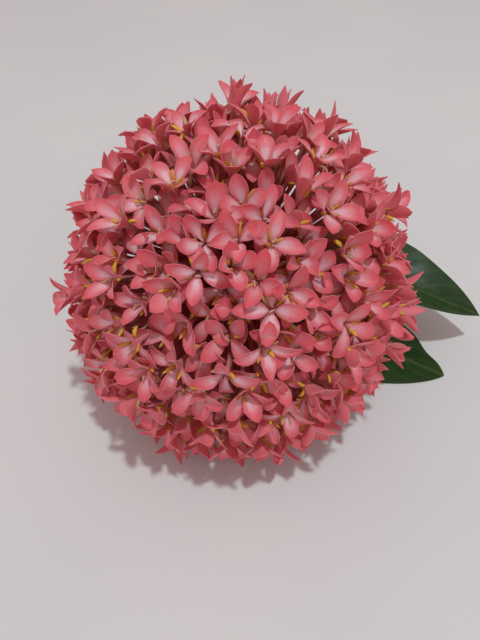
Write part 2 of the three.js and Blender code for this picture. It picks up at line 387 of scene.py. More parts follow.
class Tree:
    """The nodes of one material around a Principled shader."""

    def __init__(self, name: str) -> None:
        """Starts the material.

        Args:
            name: The material's name.
        """
        self.material = bpy.data.materials.new(name)
        self.material.use_nodes = True
        self.nodes = self.material.node_tree.nodes
        self.links = self.material.node_tree.links
        self.shader = self.nodes["Principled BSDF"]

    def add(
        self,
        kind: str,
        settings: dict[str, Any] | None = None,
        sockets: dict[str | int, Input] | None = None,
        output: str | int = 0,
    ) -> Value:
        """Adds any node.

        Args:
            kind: The node's type.
            settings: Its properties, set first.
            sockets: Values or links of its inputs, by name or place.
            output: The output that is wanted.

        Returns:
            That output.
        """
        node = self.nodes.new(kind)
        for name, value in (settings or {}).items():
            setattr(node, name, value)
        for name, value in (sockets or {}).items():
            self._set(node.inputs[name], value)
        return Value(self, node.outputs[output])

    def _set(self, socket: bpy.types.NodeSocket, value: Input) -> None:
        """Links or sets one input.

        Args:
            socket: The input.
            value: An output to link, or a number, colour or vector to set.
        """
        if isinstance(value, Value):
            self.links.new(value.socket, socket)
        elif isinstance(value, (tuple, list)) and socket.type == "RGBA":
            socket.default_value = (*value, 1.0)
        else:
            socket.default_value = value

    def mark(self, name: str) -> Value:
        """A point mark of the mesh."""
        return self.add("ShaderNodeAttribute", {"attribute_name": name}, output="Fac")

    def place(self) -> Value:
        """The object's own coordinates, in metres."""
        return self.add("ShaderNodeTexCoord", output="Object")

    def mix(self, share: Input, a: Input, b: Input) -> Value:
        """Colour a where share is 0 and colour b where it is 1."""
        return self.add("ShaderNodeMix", {"data_type": "RGBA"}, {0: share, 6: a, 7: b}, output=2)

    def noise(self, scale: float, detail: float = 2.0) -> Value:
        """Cloudy noise about 0.5, with scale blotches in a metre and detail finer octaves."""
        sockets = {"Vector": self.place(), "Scale": scale, "Detail": detail}
        return self.add("ShaderNodeTexNoise", None, sockets)

    def cells(self, scale: float, measure: Cells) -> Value:
        """How far it is from a cell's point or border, with scale cells in a metre."""
        sockets = {"Vector": self.place(), "Scale": scale}
        return self.add("ShaderNodeTexVoronoi", {"feature": measure.value}, sockets)

    def bump(self, height: Value, strength: float, depth: float) -> None:
        """Feeds a relief of this depth in metres to the shader's Normal."""
        sockets = {"Height": height, "Strength": strength, "Distance": depth}
        self.set(Normal=self.add("ShaderNodeBump", None, sockets))

    def set(self, **sockets: Input) -> None:
        """Sets inputs of the shader, with _ for a space in their names."""
        for name, value in sockets.items():
            self._set(self.shader.inputs[name.replace("_", " ")], value)


@dataclass(frozen=True)
class PetalFinish:
    """A petal lobe: pale at the foot, coral at the margin and tip, deeper coral on the back."""

    name: str = "petal_coral_pink"
    foot: Colour = (0.92, 0.66, 0.73)
    face: Colour = (0.865, 0.33, 0.39)
    blush: Colour = (0.785, 0.10, 0.13)
    back: Colour = (0.82, 0.19, 0.225)
    back_pale: Colour = (0.87, 0.36, 0.41)
    # painted highlight: the pale line of light caught along a lobe's margin
    rim: Colour = (0.88, 0.42, 0.47)
    sheen: Colour = (1.0, 0.80, 0.86)
    tip: Colour = (0.30, 0.045, 0.05)
    blotches: float = 420.0  # in a metre
    streaks: float = 31.0  # radians from the midline to the margin
    uneven: float = 0.25  # share of the length by which the blotches shift the colours
    glow: float = 0.6  # share of light that goes into the petal
    glow_depth: float = 0.0007
    relief: float = 0.00008

    def make(self) -> bpy.types.Material:
        """Lays the colours over each other.

        On the face the pale foot goes over into the face's colour along the lobe and towards the
        margin. The blush grows to the margin and the tip, and is stronger on lobes of a low tone.
        The back is plainer, with paler streaks and a paler foot. Both have a paler rim, which is a
        painted highlight of light caught along the margin, and lobes of a high tone have a dark tip.

        Returns:
            The material.
        """
        t = Tree(self.name)
        along, across, upper, tone = (t.mark(n) for n in ("along", "across", "upper", "tone"))
        off = abs(across)
        cloud = t.noise(self.blotches, 3.0)
        streak = (across * self.streaks + cloud * 5.0).stripes()
        shifted = along + (cloud - 0.5) * self.uneven
        margin = (off + (cloud - 0.5) * 0.4).smooth(0.3, 1.0)
        end = shifted.smooth(0.42, 1.0)
        blushing = 1.0 - (1.0 - margin * 0.72) * (1.0 - end * 0.9)
        heart = (1.0 - shifted.smooth(0.25, 0.8)) * (1.0 - margin * 0.8)

        face = t.mix(heart * (0.55 + tone * 0.45), self.face, self.foot)
        face = t.mix(blushing, face, self.blush)
        face = t.mix((1.0 - tone.smooth(0.0, 0.45)) * 0.5, face, self.blush)
        face = t.mix(streak * 0.10, face, self.blush)
        back = t.mix(streak * 0.45 * (1.0 - end * 0.6), self.back, self.back_pale)
        back = t.mix((1.0 - along.smooth(0.0, 0.3)) * 0.35, back, self.back_pale)
        colour = t.mix(upper, back, face)
        # painted highlight: a paler line along the margin, where light catches the lobe's edge
        colour = t.mix(off.smooth(0.93, 1.0) * 0.3, colour, self.rim)
        colour = t.mix(along.smooth(0.965, 1.0) * tone.smooth(0.3, 0.5) * 0.6, colour, self.tip)
        t.set(
            Base_Color=colour,
            Roughness=0.33 + cloud * 0.2,
            Specular_IOR_Level=0.28,
            Sheen_Weight=0.06,
            Sheen_Roughness=0.4,
            Sheen_Tint=self.sheen,
            Subsurface_Weight=self.glow,
            Subsurface_Radius=(1.0, 0.65, 0.6),
            Subsurface_Scale=self.glow_depth,
        )
        t.bump(streak * 0.6 + cloud, 0.35, self.relief)
        return t.material


@dataclass(frozen=True)
class TubeFinish:
    """A corolla tube: deep red low down, paler pink at the throat, with a tan mouth darkened by
    painted shade.
    """

    name: str = "tube_deep_pink"
    low: Colour = (0.52, 0.055, 0.055)
    high: Colour = (0.74, 0.25, 0.26)
    # tan of the throat, kept dark as painted shade down inside the funnel
    mouth: Colour = (0.52, 0.24, 0.17)
    blotches: float = 700.0  # in a metre
    streaks: float = 50.0  # radians in a turn around the tube
    relief: float = 0.00006

    def make(self) -> bpy.types.Material:
        """Goes from low to high along the tube, with streaks of low, and into the mouth's tan inside
        the funnel, where painted shade makes it darker deeper in.

        Returns:
            The material.
        """
        t = Tree(self.name)
        along, inside, tone = (t.mark(n) for n in ("along", "inside", "tone"))
        cloud = t.noise(self.blotches, 3.0)
        streak = (t.mark("round") * self.streaks + cloud * 3.0).stripes()
        colour = t.mix(along.smooth(0.25, 1.0), self.low, self.high)
        colour = t.mix(streak * 0.3, colour, self.low)
        colour = t.mix(tone * 0.3, colour, self.high)
        # painted shade: the mouth's dark tan grows deeper down inside the funnel
        colour = t.mix(inside.smooth(0.2, 1.0), colour, self.mouth)
        t.set(Base_Color=colour, Roughness=0.42 + cloud * 0.2, Specular_IOR_Level=0.4)
        t.bump(streak + cloud, 0.3, self.relief)
        return t.material


@dataclass(frozen=True)
class AntherFinish:
    """Anthers golden to orange with a grainy dust of pollen, and tan where they have dried."""

    name: str = "anther_golden"
    golden: Colour = (0.86, 0.50, 0.06)
    orange: Colour = (0.50, 0.20, 0.03)
    tan: Colour = (0.62, 0.40, 0.24)
    stalk: Colour = (0.78, 0.48, 0.38)
    grains: float = 6000.0  # in a metre
    relief: float = 0.00008

    def make(self) -> bpy.types.Material:
        """Dusts golden pollen over orange seams, with a pink filament and an orange tip.

        Returns:
            The material.
        """
        t = Tree(self.name)
        along, round_, tone = (t.mark(n) for n in ("along", "round", "tone"))
        grain = t.noise(self.grains, 2.0)
        seam = abs((round_ * 2.0 * math.pi).sine()).smooth(0.0, 0.55)
        colour = t.mix(seam * (0.5 + grain * 0.7), self.orange, self.golden)
        colour = t.mix(tone.smooth(0.62, 0.8), colour, self.tan)
        colour = t.mix(1.0 - along.smooth(0.16, 0.26), colour, self.stalk)
        colour = t.mix(along.smooth(0.9, 1.0) * 0.6, colour, self.orange)
        t.set(Base_Color=colour, Roughness=0.55 + grain * 0.3, Specular_IOR_Level=0.3)
        t.bump(grain + seam * 0.5, 0.5, self.relief)
        return t.material


@dataclass(frozen=True)
class StyleFinish:
    """A style: cream pink, paler on the two stigma lobes."""

    name: str = "style_cream_pink"
    shaft: Colour = (0.70, 0.32, 0.27)
    head: Colour = (0.76, 0.46, 0.36)
    blotches: float = 1500.0  # in a metre
    relief: float = 0.00005

    def make(self) -> bpy.types.Material:
        """Goes from shaft to head along the style, with blotches of the shaft's colour.

        Returns:
            The material.
        """
        t = Tree(self.name)
        along = t.mark("along")
        cloud = t.noise(self.blotches, 3.0)
        colour = t.mix(along.smooth(0.35, 0.8), self.shaft, self.head)
        colour = t.mix(cloud * 0.35, colour, self.shaft)
        t.set(Base_Color=colour, Roughness=0.45 + cloud * 0.25, Specular_IOR_Level=0.35)
        t.bump(cloud, 0.3, self.relief)
        return t.material


@dataclass(frozen=True)
class StalkFinish:
    """The branched flower stalk and calyces: green flushed with dull red."""

    name: str = "stalk_green_red"
    green: Colour = (0.15, 0.17, 0.05)
    red: Colour = (0.30, 0.06, 0.04)
    blotches: float = 500.0  # in a metre
    grains: float = 2500.0  # in a metre
    relief: float = 0.0001

    def make(self) -> bpy.types.Material:
        """Flushes the green with red in blotches, more towards the calyces.

        Returns:
            The material.
        """
        t = Tree(self.name)
        along = t.mark("along")
        cloud = t.noise(self.blotches, 4.0)
        flush = (cloud + along * 0.5 - 0.25).smooth(0.3, 0.75)
        t.set(
            Base_Color=t.mix(flush, self.green, self.red),
            Roughness=0.5 + cloud * 0.25,
            Specular_IOR_Level=0.35,
        )
        t.bump(cloud + t.noise(self.grains, 2.0) * 0.4, 0.4, self.relief)
        return t.material


@dataclass(frozen=True)
class StemFinish:
    """The sprig's bark: green near the head, browner and ridged below, corky dots, a pale cut."""

    name: str = "stem_green_bark"
    green: Colour = (0.115, 0.155, 0.045)
    brown: Colour = (0.17, 0.115, 0.06)
    dots: Colour = (0.36, 0.28, 0.17)
    wood: Colour = (0.62, 0.56, 0.36)
    pith: Colour = (0.72, 0.68, 0.52)
    cut_edge: Colour = (0.10, 0.14, 0.04)
    blotches: float = 260.0  # in a metre
    grains: float = 1400.0  # in a metre
    ridges: float = 9.0  # around the stem
    corks: float = 480.0  # in a metre
    relief: float = 0.00022

    def make(self) -> bpy.types.Material:
        """Browns the green bark in blotches down the stem, and dots it with cork.

        The mark "cut" is 0 on the bark and grows over the cut end to 1 in its middle: the green
        edge, then wood, then pith.

        Returns:
            The material.
        """
        t = Tree(self.name)
        along, round_, cut = (t.mark(n) for n in ("along", "round", "cut"))
        cloud = t.noise(self.blotches, 4.0)
        fine = t.noise(self.grains, 3.0)
        ridge = (round_ * 2.0 * math.pi * self.ridges + cloud * 4.0).stripes()
        browning = (along * 1.1 + (cloud - 0.5) * 1.2).smooth(0.25, 1.0)
        colour = t.mix(browning, self.green, self.brown)
        colour = t.mix(ridge * 0.25, colour, self.brown)
        dots = 1.0 - t.cells(self.corks, Cells.FROM_POINT).smooth(0.10, 0.2)
        colour = t.mix(dots * 0.7, colour, self.dots)
        face = t.mix(cut.smooth(0.14, 0.20), self.cut_edge, self.wood)
        face = t.mix(cut.smooth(0.60, 0.68), face, self.pith)
        face = t.mix(fine * 0.35, face, self.brown)
        colour = t.mix(cut.smooth(0.0, 0.03), colour, face)
        t.set(Base_Color=colour, Roughness=0.5 + fine * 0.3, Specular_IOR_Level=0.35)
        t.bump(ridge * 0.8 + fine + dots * 0.8, 0.5, self.relief)
        return t.material


@dataclass(frozen=True)
class LeafFinish:
    """A leathery leaf: deep glossy green with a paler midrib and veins, and a pale matt back."""

    name: str = "leaf_glossy_green"
    green: Colour = (0.012, 0.038, 0.006)
    light: Colour = (0.026, 0.070, 0.011)
    vein: Colour = (0.085, 0.14, 0.03)
    back: Colour = (0.125, 0.19, 0.075)
    back_vein: Colour = (0.22, 0.27, 0.12)
    petiole: Colour = (0.13, 0.15, 0.05)
    gloss: float = 0.10
    blotches: float = 90.0  # in a metre
    pores: float = 2600.0  # in a metre
    nets: float = 620.0  # meshes of the finest veins in a metre
    relief: float = 0.00012

    def make(self) -> bpy.types.Material:
        """Lays the midrib, side veins and the net of fine veins over both faces.

        The mark "upper" tells the glossy face from the matt back, and "along" the petiole from the
        blade.

        Returns:
            The material.
        """
        t = Tree(self.name)
        along, across, upper = (t.mark(n) for n in ("along", "across", "upper"))
        rib, vein = t.mark("rib"), t.mark("vein")
        cloud = t.noise(self.blotches, 4.0)
        pores = t.noise(self.pores, 3.0)
        net = 1.0 - t.cells(self.nets, Cells.FROM_BORDER).smooth(0.0, 0.14)
        face = t.mix(cloud.smooth(0.35, 0.7) * 0.7, self.green, self.light)
        face = t.mix(abs(across).smooth(0.9, 1.0) * 0.5, face, self.light)
        face = t.mix(vein * 0.24, face, self.vein)
        face = t.mix(net * 0.10, face, self.light)
        face = t.mix(rib * 0.55, face, self.vein)
        back = t.mix(vein * 0.6, self.back, self.back_vein)
        back = t.mix(net * 0.25, back, self.green)
        back = t.mix(rib * 0.9, back, self.back_vein)
        colour = t.mix(upper, back, face)
        colour = t.mix(1.0 - along.smooth(0.05, 0.11), colour, self.petiole)
        t.set(
            Base_Color=colour,
            Roughness=0.36 + pores * 0.12 + (1.0 - upper) * 0.22,
            Specular_IOR_Level=0.22,
            Coat_Weight=upper * self.gloss,
            Coat_Roughness=0.3,
        )
        t.bump(pores * 0.5 + cloud * 0.8 - net * 0.5, 0.35, self.relief)
        return t.material


@dataclass(frozen=True)
class FloorFinish:
    """A plain pale surface."""

    name: str = "floor_pale"
    colour: Colour = (0.80, 0.775, 0.775)
    shade: Colour = (0.77, 0.75, 0.755)
    blotches: float = 9.0  # in a metre

    def make(self) -> bpy.types.Material:
        """Mixes the two colours in wide soft blotches.

        Returns:
            The material.
        """
        t = Tree(self.name)
        cloud = t.noise(self.blotches, 2.0)
        t.set(
            Base_Color=t.mix(cloud.smooth(0.3, 0.7), self.colour, self.shade),
            Roughness=0.85,
            Specular_IOR_Level=0.2,
        )
        return t.material


# ---- Pieces --------------------------------------------------------------------------------------


def place_piece(
    name: str,
    surface: Surface,
    material: bpy.types.Material,
    node: Node,
    crease: float = 55.0,
) -> bpy.types.Object:
    """Makes a mesh piece and ties it to the frame.

    Args:
        name: The piece's name.
        surface: Its form, in millimetres.
        material: Its finish.
        node: The solid that it stands for.
        crease: Edges whose faces meet at more than this many degrees stay sharp.

    Returns:
        The new object, at the origin, unturned and unscaled.
    """
    mesh = bpy.data.meshes.new(name)
    corners = np.concatenate([f.reshape(-1) for f in surface.faces])
    sizes = np.concatenate([np.full(len(f), f.shape[1]) for f in surface.faces])
    starts = np.concatenate([[0], np.cumsum(sizes)[:-1]])
    mesh.vertices.add(len(surface.points))
    mesh.vertices.foreach_set("co", (surface.points * METRES).astype(np.float32).reshape(-1))
    mesh.loops.add(len(corners))
    mesh.loops.foreach_set("vertex_index", corners.astype(np.int32))
    mesh.polygons.add(len(sizes))
    mesh.polygons.foreach_set("loop_start", starts.astype(np.int32))
    mesh.update(calc_edges=True)
    if mesh.validate(verbose=False):
        LOG.warning("%s had faces that Blender had to mend", name)
    for mark, values in surface.marks.items():
        layer = mesh.attributes.new(mark, "FLOAT", "POINT")
        layer.data.foreach_set("value", np.ascontiguousarray(values, dtype=np.float32))
    mesh.shade_smooth()
    mesh.set_sharp_from_angle(angle=math.radians(crease))
    mesh.materials.append(material)
    piece = bpy.data.objects.new(name, mesh)
    bpy.context.scene.collection.objects.link(piece)
    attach(piece, "root")
    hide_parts(node.value)
    LOG.info("%s: %d points, %d faces", name, len(surface.points), len(sizes))
    return piece


@dataclass
class Florets:
    """Where every floret stands and how its lobes are posed. Arrays over florets, then lobes."""

    out: Array  # from the head's centre
    throat: Array  # where the lobes spring from the tube
    nod: Array  # out of the floret's face
    first: Array  # square to nod
    second: Array  # square to both
    spin: Array  # radians of the first lobe about nod, from first
    lift: Array  # degrees of each lobe above the floret's plane
    curl: Array  # degrees that its tip bends back
    length: Array
    half: Array  # half width
    twist: Array  # radians at its tip
    hollow: Array  # depth of the lobe's channel, as a share of its half width
    tone: Array  # 0 to 1, which varies its colours
    rim: Array  # 0 over the middle of the cap, up to 1 at its edge

    @staticmethod
    def joined(parts: Sequence["Florets"]) -> "Florets":
        """All florets of several groups."""
        names = [f.name for f in fields(Florets)]
        return Florets(**{n: np.concatenate([getattr(p, n) for p in parts]) for n in names})

    def away(self, spin: Array | None = None) -> Array:
        """The direction of each lobe in the floret's plane.

        Args:
            spin: The florets' spins, or None for their own.

        Returns:
            Unit vectors, shape (florets, lobes, 3).
        """
        base = self.spin if spin is None else spin
        turn = base[..., None] + np.arange(LOBES) * LOBE_TURN
        return swung(self.first[:, None], self.second[:, None], turn)


@dataclass
class Dome:
    """The round head: a golden-angle spiral of florets over a cap of a ball."""

    centre: Point = (-16.9, -7.9, 47.0)
    rise: float = 40.0  # degrees of the cap's axis above the horizontal
    turn: float = 10.0  # and its turn from -Y towards -X
    cap: float = 119.0  # degrees from its axis to its edge
    florets: int = 360
    fillers: int = 60  # that stand deeper, in the gaps
    filler_radius: Span = (44.0, 47.5)  # of their throats
    filler_cup: Span = (18.0, 40.0)  # degrees that their lobes are lifted
    filled: float = 104.0  # degrees from the cap's axis up to which gaps are filled
    samples: int = 4200  # directions in which gaps are looked for
    batches: int = 12  # in which the covered directions are gone through
    throat_radii: tuple[float, ...] = (46.5, 51.0, 48.0, 52.5, 49.5)  # in turn
    radius_varies: float = 1.0
    place_varies: float = 1.8  # degrees
    nod_most: float = 14.0  # degrees that a floret nods from the radius
    cup: Span = (30.0, 66.0)  # degrees that a floret's lobes are lifted
    cup_midway: float = 1.6  # 1 draws them evenly, and more draws them towards the middle
    cup_varies: float = 14.0
    curl_most: float = 56.0
    curl_varies: float = 18.0
    curl_mean: float = 0.35  # share of the curl that lowers a lobe's tip
    tip_reach: float = 63.0  # of the farthest tips from the head's centre
    reach_varies: float = 3.6  # by which a floret may stay behind that
    sag: float = 3.2  # by which that is less at the top and more below
    stretch: float = 3.6  # by which it is more both ways along stretch_axis
    stretch_axis: Point = (0.0, 0.76, 0.65)
    clear: float = 2.5  # least height of a throat over the surface
    lobe_length: Span = (8.5, 10.4)
    length_varies: float = 0.5
    lobe_half: Span = (1.95, 2.65)
    half_varies: float = 0.2
    twist_most: float = 20.0
    hollow_most: float = 0.42
    floret_tone: float = 0.6  # share of the tone that a floret's lobes have in common
    rim_begins: float = 0.55  # cosine of the angle from the cap's axis where its rim begins
    rim_cup: float = 19.0  # by which lobes at the rim are lifted more
    rim_curl: float = 0.6  # share of the curl that they lose
    rim_length: float = 0.1  # share of the length that they gain
    rim_half: float = 0.18  # share of the width that they lose
    rim_hollow: float = 0.3  # by which they are hollower
    spin_trials: int = 9
    leans: tuple[float, ...] = (0.0, -20.0, -10.0, 10.0)  # degrees that a lobe may give way
    rounds: int = 3
    near: float = 19.0  # throats nearer than this are neighbours
    touch: float = 1.1  # distance below which points hardly crowd each other more
    probe_places: tuple[Span, ...] = ((0.3, 0.65), (0.55, 1.0), (0.8, 0.8))
    probe_curls: Span = (0.16, 0.68)  # share of the curl over each half of a lobe
    anther_rise: float = 1.1  # out of the floret's face, for 1 along each of two lobes
    anther_reach: float = 4.0  # of an anther's probe point from the throat
    seed: int = 33

    def axis(self) -> Array:
        """The cap's axis: rise degrees up from -Y, which is turned towards -X.

        Returns:
            A unit vector.
        """
        rise, side = math.radians(self.rise), math.radians(self.turn)
        flat = np.array([-math.sin(side), -math.cos(side), 0.0])
        return flat * math.cos(rise) + np.array([0.0, 0.0, math.sin(rise)])

    def direction(self, angle: Array, turn: Array) -> Array:
        """Directions at angles from the cap's axis and turns about it.

        Args:
            angle: The angles in radians.
            turn: The turns in radians.

        Returns:
            Unit vectors.
        """
        axis = self.axis()
        first, second = axes_along(axis)
        return (
            first * (np.sin(angle) * np.cos(turn))[:, None]
            + second * (np.sin(angle) * np.sin(turn))[:, None]
            + axis * np.cos(angle)[:, None]
        )

    def spiral(self, count: int, cap: float, varies: float, rng: np.random.Generator) -> Array:
        """Directions spread evenly over a cap.

        The cosine of a direction's angle falls evenly from 1 to cos(cap), so each has the same
        share of the cap, and its turn grows by the golden angle.

        Args:
            count: How many.
            cap: The cap's edge, in degrees from its axis.
            varies: The most degrees of scatter.
            rng: Draws the scatter.

        Returns:
            Unit vectors.
        """
        height = (1.0 - math.cos(math.radians(cap))) * (np.arange(count) + 0.5) / count
        scatter = np.radians(rng.uniform(-varies, varies, (2, count)))
        angle = np.arccos(1.0 - height) + scatter[0]
        turn = np.arange(count) * GOLDEN_ANGLE + scatter[1] / np.maximum(np.sin(angle), 0.3)
        return self.direction(angle, turn)

    def lay_out(self) -> Florets:
        """Places and poses all florets, first the outer ones and then those in their gaps.

        Returns:
            The florets.
        """
        rng = np.random.default_rng(self.seed)
        out = self.spiral(self.florets, self.cap, self.place_varies, rng)
        radius = np.resize(self.throat_radii, self.florets)
        florets = self.posed(out, radius, self.cup, rng)
        self.turn_apart(florets)
        florets = Florets.joined([florets, *self.in_gaps(florets, rng)])
        self.turn_apart(florets)
        self.lean_apart(florets)
        return florets

    def in_gaps(self, florets: Florets, rng: np.random.Generator) -> list[Florets]:
        """Florets that stand deeper, one after another at the widest gap that is left.

        The gap at a sample direction is its angle to the nearest covered direction.

        Args:
            florets: The outer florets.
            rng: Draws how deep the new florets stand and how they are posed.

        Returns:
            The new florets, each on its own.
        """
        samples = self.spiral(self.samples, self.filled, 0.0, rng)
        seen = self.covered(florets)
        nearest = np.full(self.samples, -1.0)
        for part in np.array_split(seen, self.batches):
            nearest = np.maximum(nearest, (samples @ part.T).max(axis=1))
        found: list[Florets] = []
        for _ in range(self.fillers):
            out = samples[[int(np.argmin(nearest))]]
            radius = rng.uniform(*self.filler_radius, 1)
            one = self.posed(out, radius, self.filler_cup, rng)
            nearest = np.maximum(nearest, (samples @ self.covered(one).T).max(axis=1))
            found.append(one)
        return found

    def covered(self, florets: Florets) -> Array:
        """Directions of the florets' probe points and of the points halfway to their throats.

        Args:
            florets: The florets.

        Returns:
            Unit vectors from the head's centre.
        """
        probes = self.probes(florets, florets.spin)
        points = np.concatenate([probes, (probes + florets.throat[:, None, None]) / 2.0])
        return unit(points.reshape(-1, 3) - np.array(self.centre))

    def posed(
        self, out: Array, radius: Array, cup: Span, rng: np.random.Generator
    ) -> Florets:
        """Draws the pose of florets at given directions.

        Args:
            out: Their unit directions from the head's centre.
            radius: Their throats' distances from it, before scatter and the head's limits.
            cup: The least and the most lift of their lobes in degrees.
            rng: Draws the rest.

        Returns:
            The florets, with a spin of 0.
        """
        n = len(out)

        def either_way(limit: float, *shape: int) -> Array:
            """Even draws between -limit and limit."""
            return rng.uniform(-limit, limit, shape)

        side, other = axes_along(out)
        tilt = np.tan(np.radians(either_way(self.nod_most, 2, n)))[..., None]
        nod = unit(out + side * tilt[0] + other * tilt[1])
        first, second = axes_along(nod)
        rim = np.clip(1.0 - (out @ self.axis()) / self.rim_begins, 0.0, 1.0)
        least, most = cup
        raised = least + (most - least) * rng.beta(self.cup_midway, self.cup_midway, n)
        raised = raised + self.rim_cup * rim
        lift = raised[:, None] + either_way(self.cup_varies, n, LOBES)
        curl = rng.uniform(0.0, self.curl_most, n)[:, None]
        curl = curl + either_way(self.curl_varies, n, LOBES)
        curl = curl * (1.0 - self.rim_curl * rim[:, None])
        length = rng.uniform(*self.lobe_length, (n, 1)) + either_way(self.length_varies, n, LOBES)
        length = length * (1.0 + self.rim_length * rim[:, None])

        slope = np.radians(lift - curl * self.curl_mean)
        tall = 1.0 + (length * np.sin(slope)).max(axis=1)
        far = self.stretch * (out @ np.array(self.stretch_axis)) ** 2
        reach = self.tip_reach + far - self.sag * out[:, 2]
        reach = reach - rng.uniform(0.0, self.reach_varies, n)
        radius = radius + either_way(self.radius_varies, n)
        radius = np.minimum(radius * reach / self.tip_reach, reach - tall)
        centre = np.array(self.centre)
        lowest = (centre[2] - self.clear) / np.maximum(-out[:, 2], 1e-3)
        radius = np.where(out[:, 2] < 0, np.minimum(radius, lowest), radius)

        half = rng.uniform(*self.lobe_half, (n, 1)) + either_way(self.half_varies, n, LOBES)
        twist = np.radians(either_way(self.twist_most, n, LOBES))
        hollow = rng.uniform(0.0, self.hollow_most, (n, LOBES)) + self.rim_hollow * rim[:, None]
        tone = rng.uniform(0.0, self.floret_tone, (n, 1))
        tone = tone + rng.uniform(0.0, 1.0 - self.floret_tone, (n, LOBES))
        return Florets(
            out=out,
            throat=centre + out * radius[:, None],
            nod=nod,
            first=first,
            second=second,
            spin=np.zeros(n),
            lift=lift,
            curl=curl,
            length=length,
            half=half * (1.0 - self.rim_half * rim[:, None]),
            twist=twist,
            hollow=hollow,
            tone=tone,
            rim=rim,
        )

    def turn_apart(self, florets: Florets) -> None:
        """Turns each floret about its nod to where it is least crowded.

        Args:
            florets: The florets, whose spin is changed.
        """
        n = len(florets.spin)
        turns = np.arange(self.spin_trials) / self.spin_trials * LOBE_TURN
        spins = florets.spin[:, None] + turns
        tries = [self.probes(florets, spin).reshape(n, 1, -1, 3) for spin in spins.T]
        chosen = self.least_crowded(np.stack(tries, axis=1), florets.throat)
        florets.spin = np.take_along_axis(spins, chosen, axis=1)[:, 0]

    def lean_apart(self, florets: Florets) -> None:
        """Raises or lowers each lobe to where it is least crowded.

        Args:
            florets: The florets, whose lift is changed.
        """
        tries = [self.probes(florets, florets.spin, lean) for lean in self.leans]
        chosen = self.least_crowded(np.stack(tries, axis=1), florets.throat)
        florets.lift = florets.lift + np.array(self.leans)[chosen]

    def least_crowded(self, options: Array, throat: Array) -> Array:
        """Chooses among options for groups of points, one floret after another and round again.

        An option's crowding is the sum over pairs of its points and its neighbours' of
        1 / (touch^2 + distance^2)^2, and the least crowded option is kept.

        Args:
            options: Shape (florets, options, groups, points, 3). The first is where all begin.
            throat: The florets' throats, which tell who the neighbours are.

        Returns:
            The place of the chosen option, shape (florets, groups).
        """
        n, trials, groups = options.shape[:3]
        apart = np.linalg.norm(throat[:, None] - throat[None], axis=-1)
        near = (apart < self.near) & ~np.eye(n, dtype=bool)
        standing = options[:, 0].copy()
        chosen = np.zeros((n, groups), dtype=int)
        for _ in range(self.rounds):
            for i in range(n):
                rivals = standing[near[i]].reshape(-1, 3)
                own = options[i].reshape(-1, 3)
                sizes = (own**2).sum(-1)[:, None] + (rivals**2).sum(-1) + self.touch**2
                square = sizes - 2.0 * own @ rivals.T
                crowd = (1.0 / (square * square)).sum(-1).reshape(trials, groups, -1).sum(-1)
                chosen[i] = crowd.argmin(axis=0)
                standing[i] = options[i, chosen[i], np.arange(groups)]
        return chosen

    def probes(self, florets: Florets, spin: Array, lean: float = 0.0) -> Array:
        """Points that stand for each lobe and for what is beside it.

        They are both edges and the middle at each of the probe places, which give a share of the
        lobe's length and one of its half width, its tip, the anther's place beside it and the
        floret's throat. The lobe is taken as two straight halves.

        Args:
            florets: The florets.
            spin: The spin of each.
            lean: Degrees to add to every lobe's lift.

        Returns:
            The points, shape (florets, lobes, 12, 3).
        """
        away = florets.away(spin)
        nod = florets.nod[:, None]
        across = np.cross(nod, away)
        foot = florets.throat[:, None] + away
        half = florets.half[..., None]
        slopes = [np.radians(florets.lift + lean - florets.curl * c) for c in self.probe_curls]
        lower, upper = (swung(away, nod, slope) * florets.length[..., None] for slope in slopes)
        points = []
        for share, wide in self.probe_places:
            middle = foot + lower * min(share, 0.5) + upper * max(share - 0.5, 0.0)
            points += [middle - across * half * wide, middle, middle + across * half * wide]
        tip = foot + lower * 0.5 + upper * 0.5
        beside = unit(away + across + nod * self.anther_rise)
        anther = florets.throat[:, None] + beside * self.anther_reach
        mouth = np.broadcast_to(florets.throat[:, None] + nod, away.shape)
        return np.stack([*points, tip, anther, mouth], axis=2)


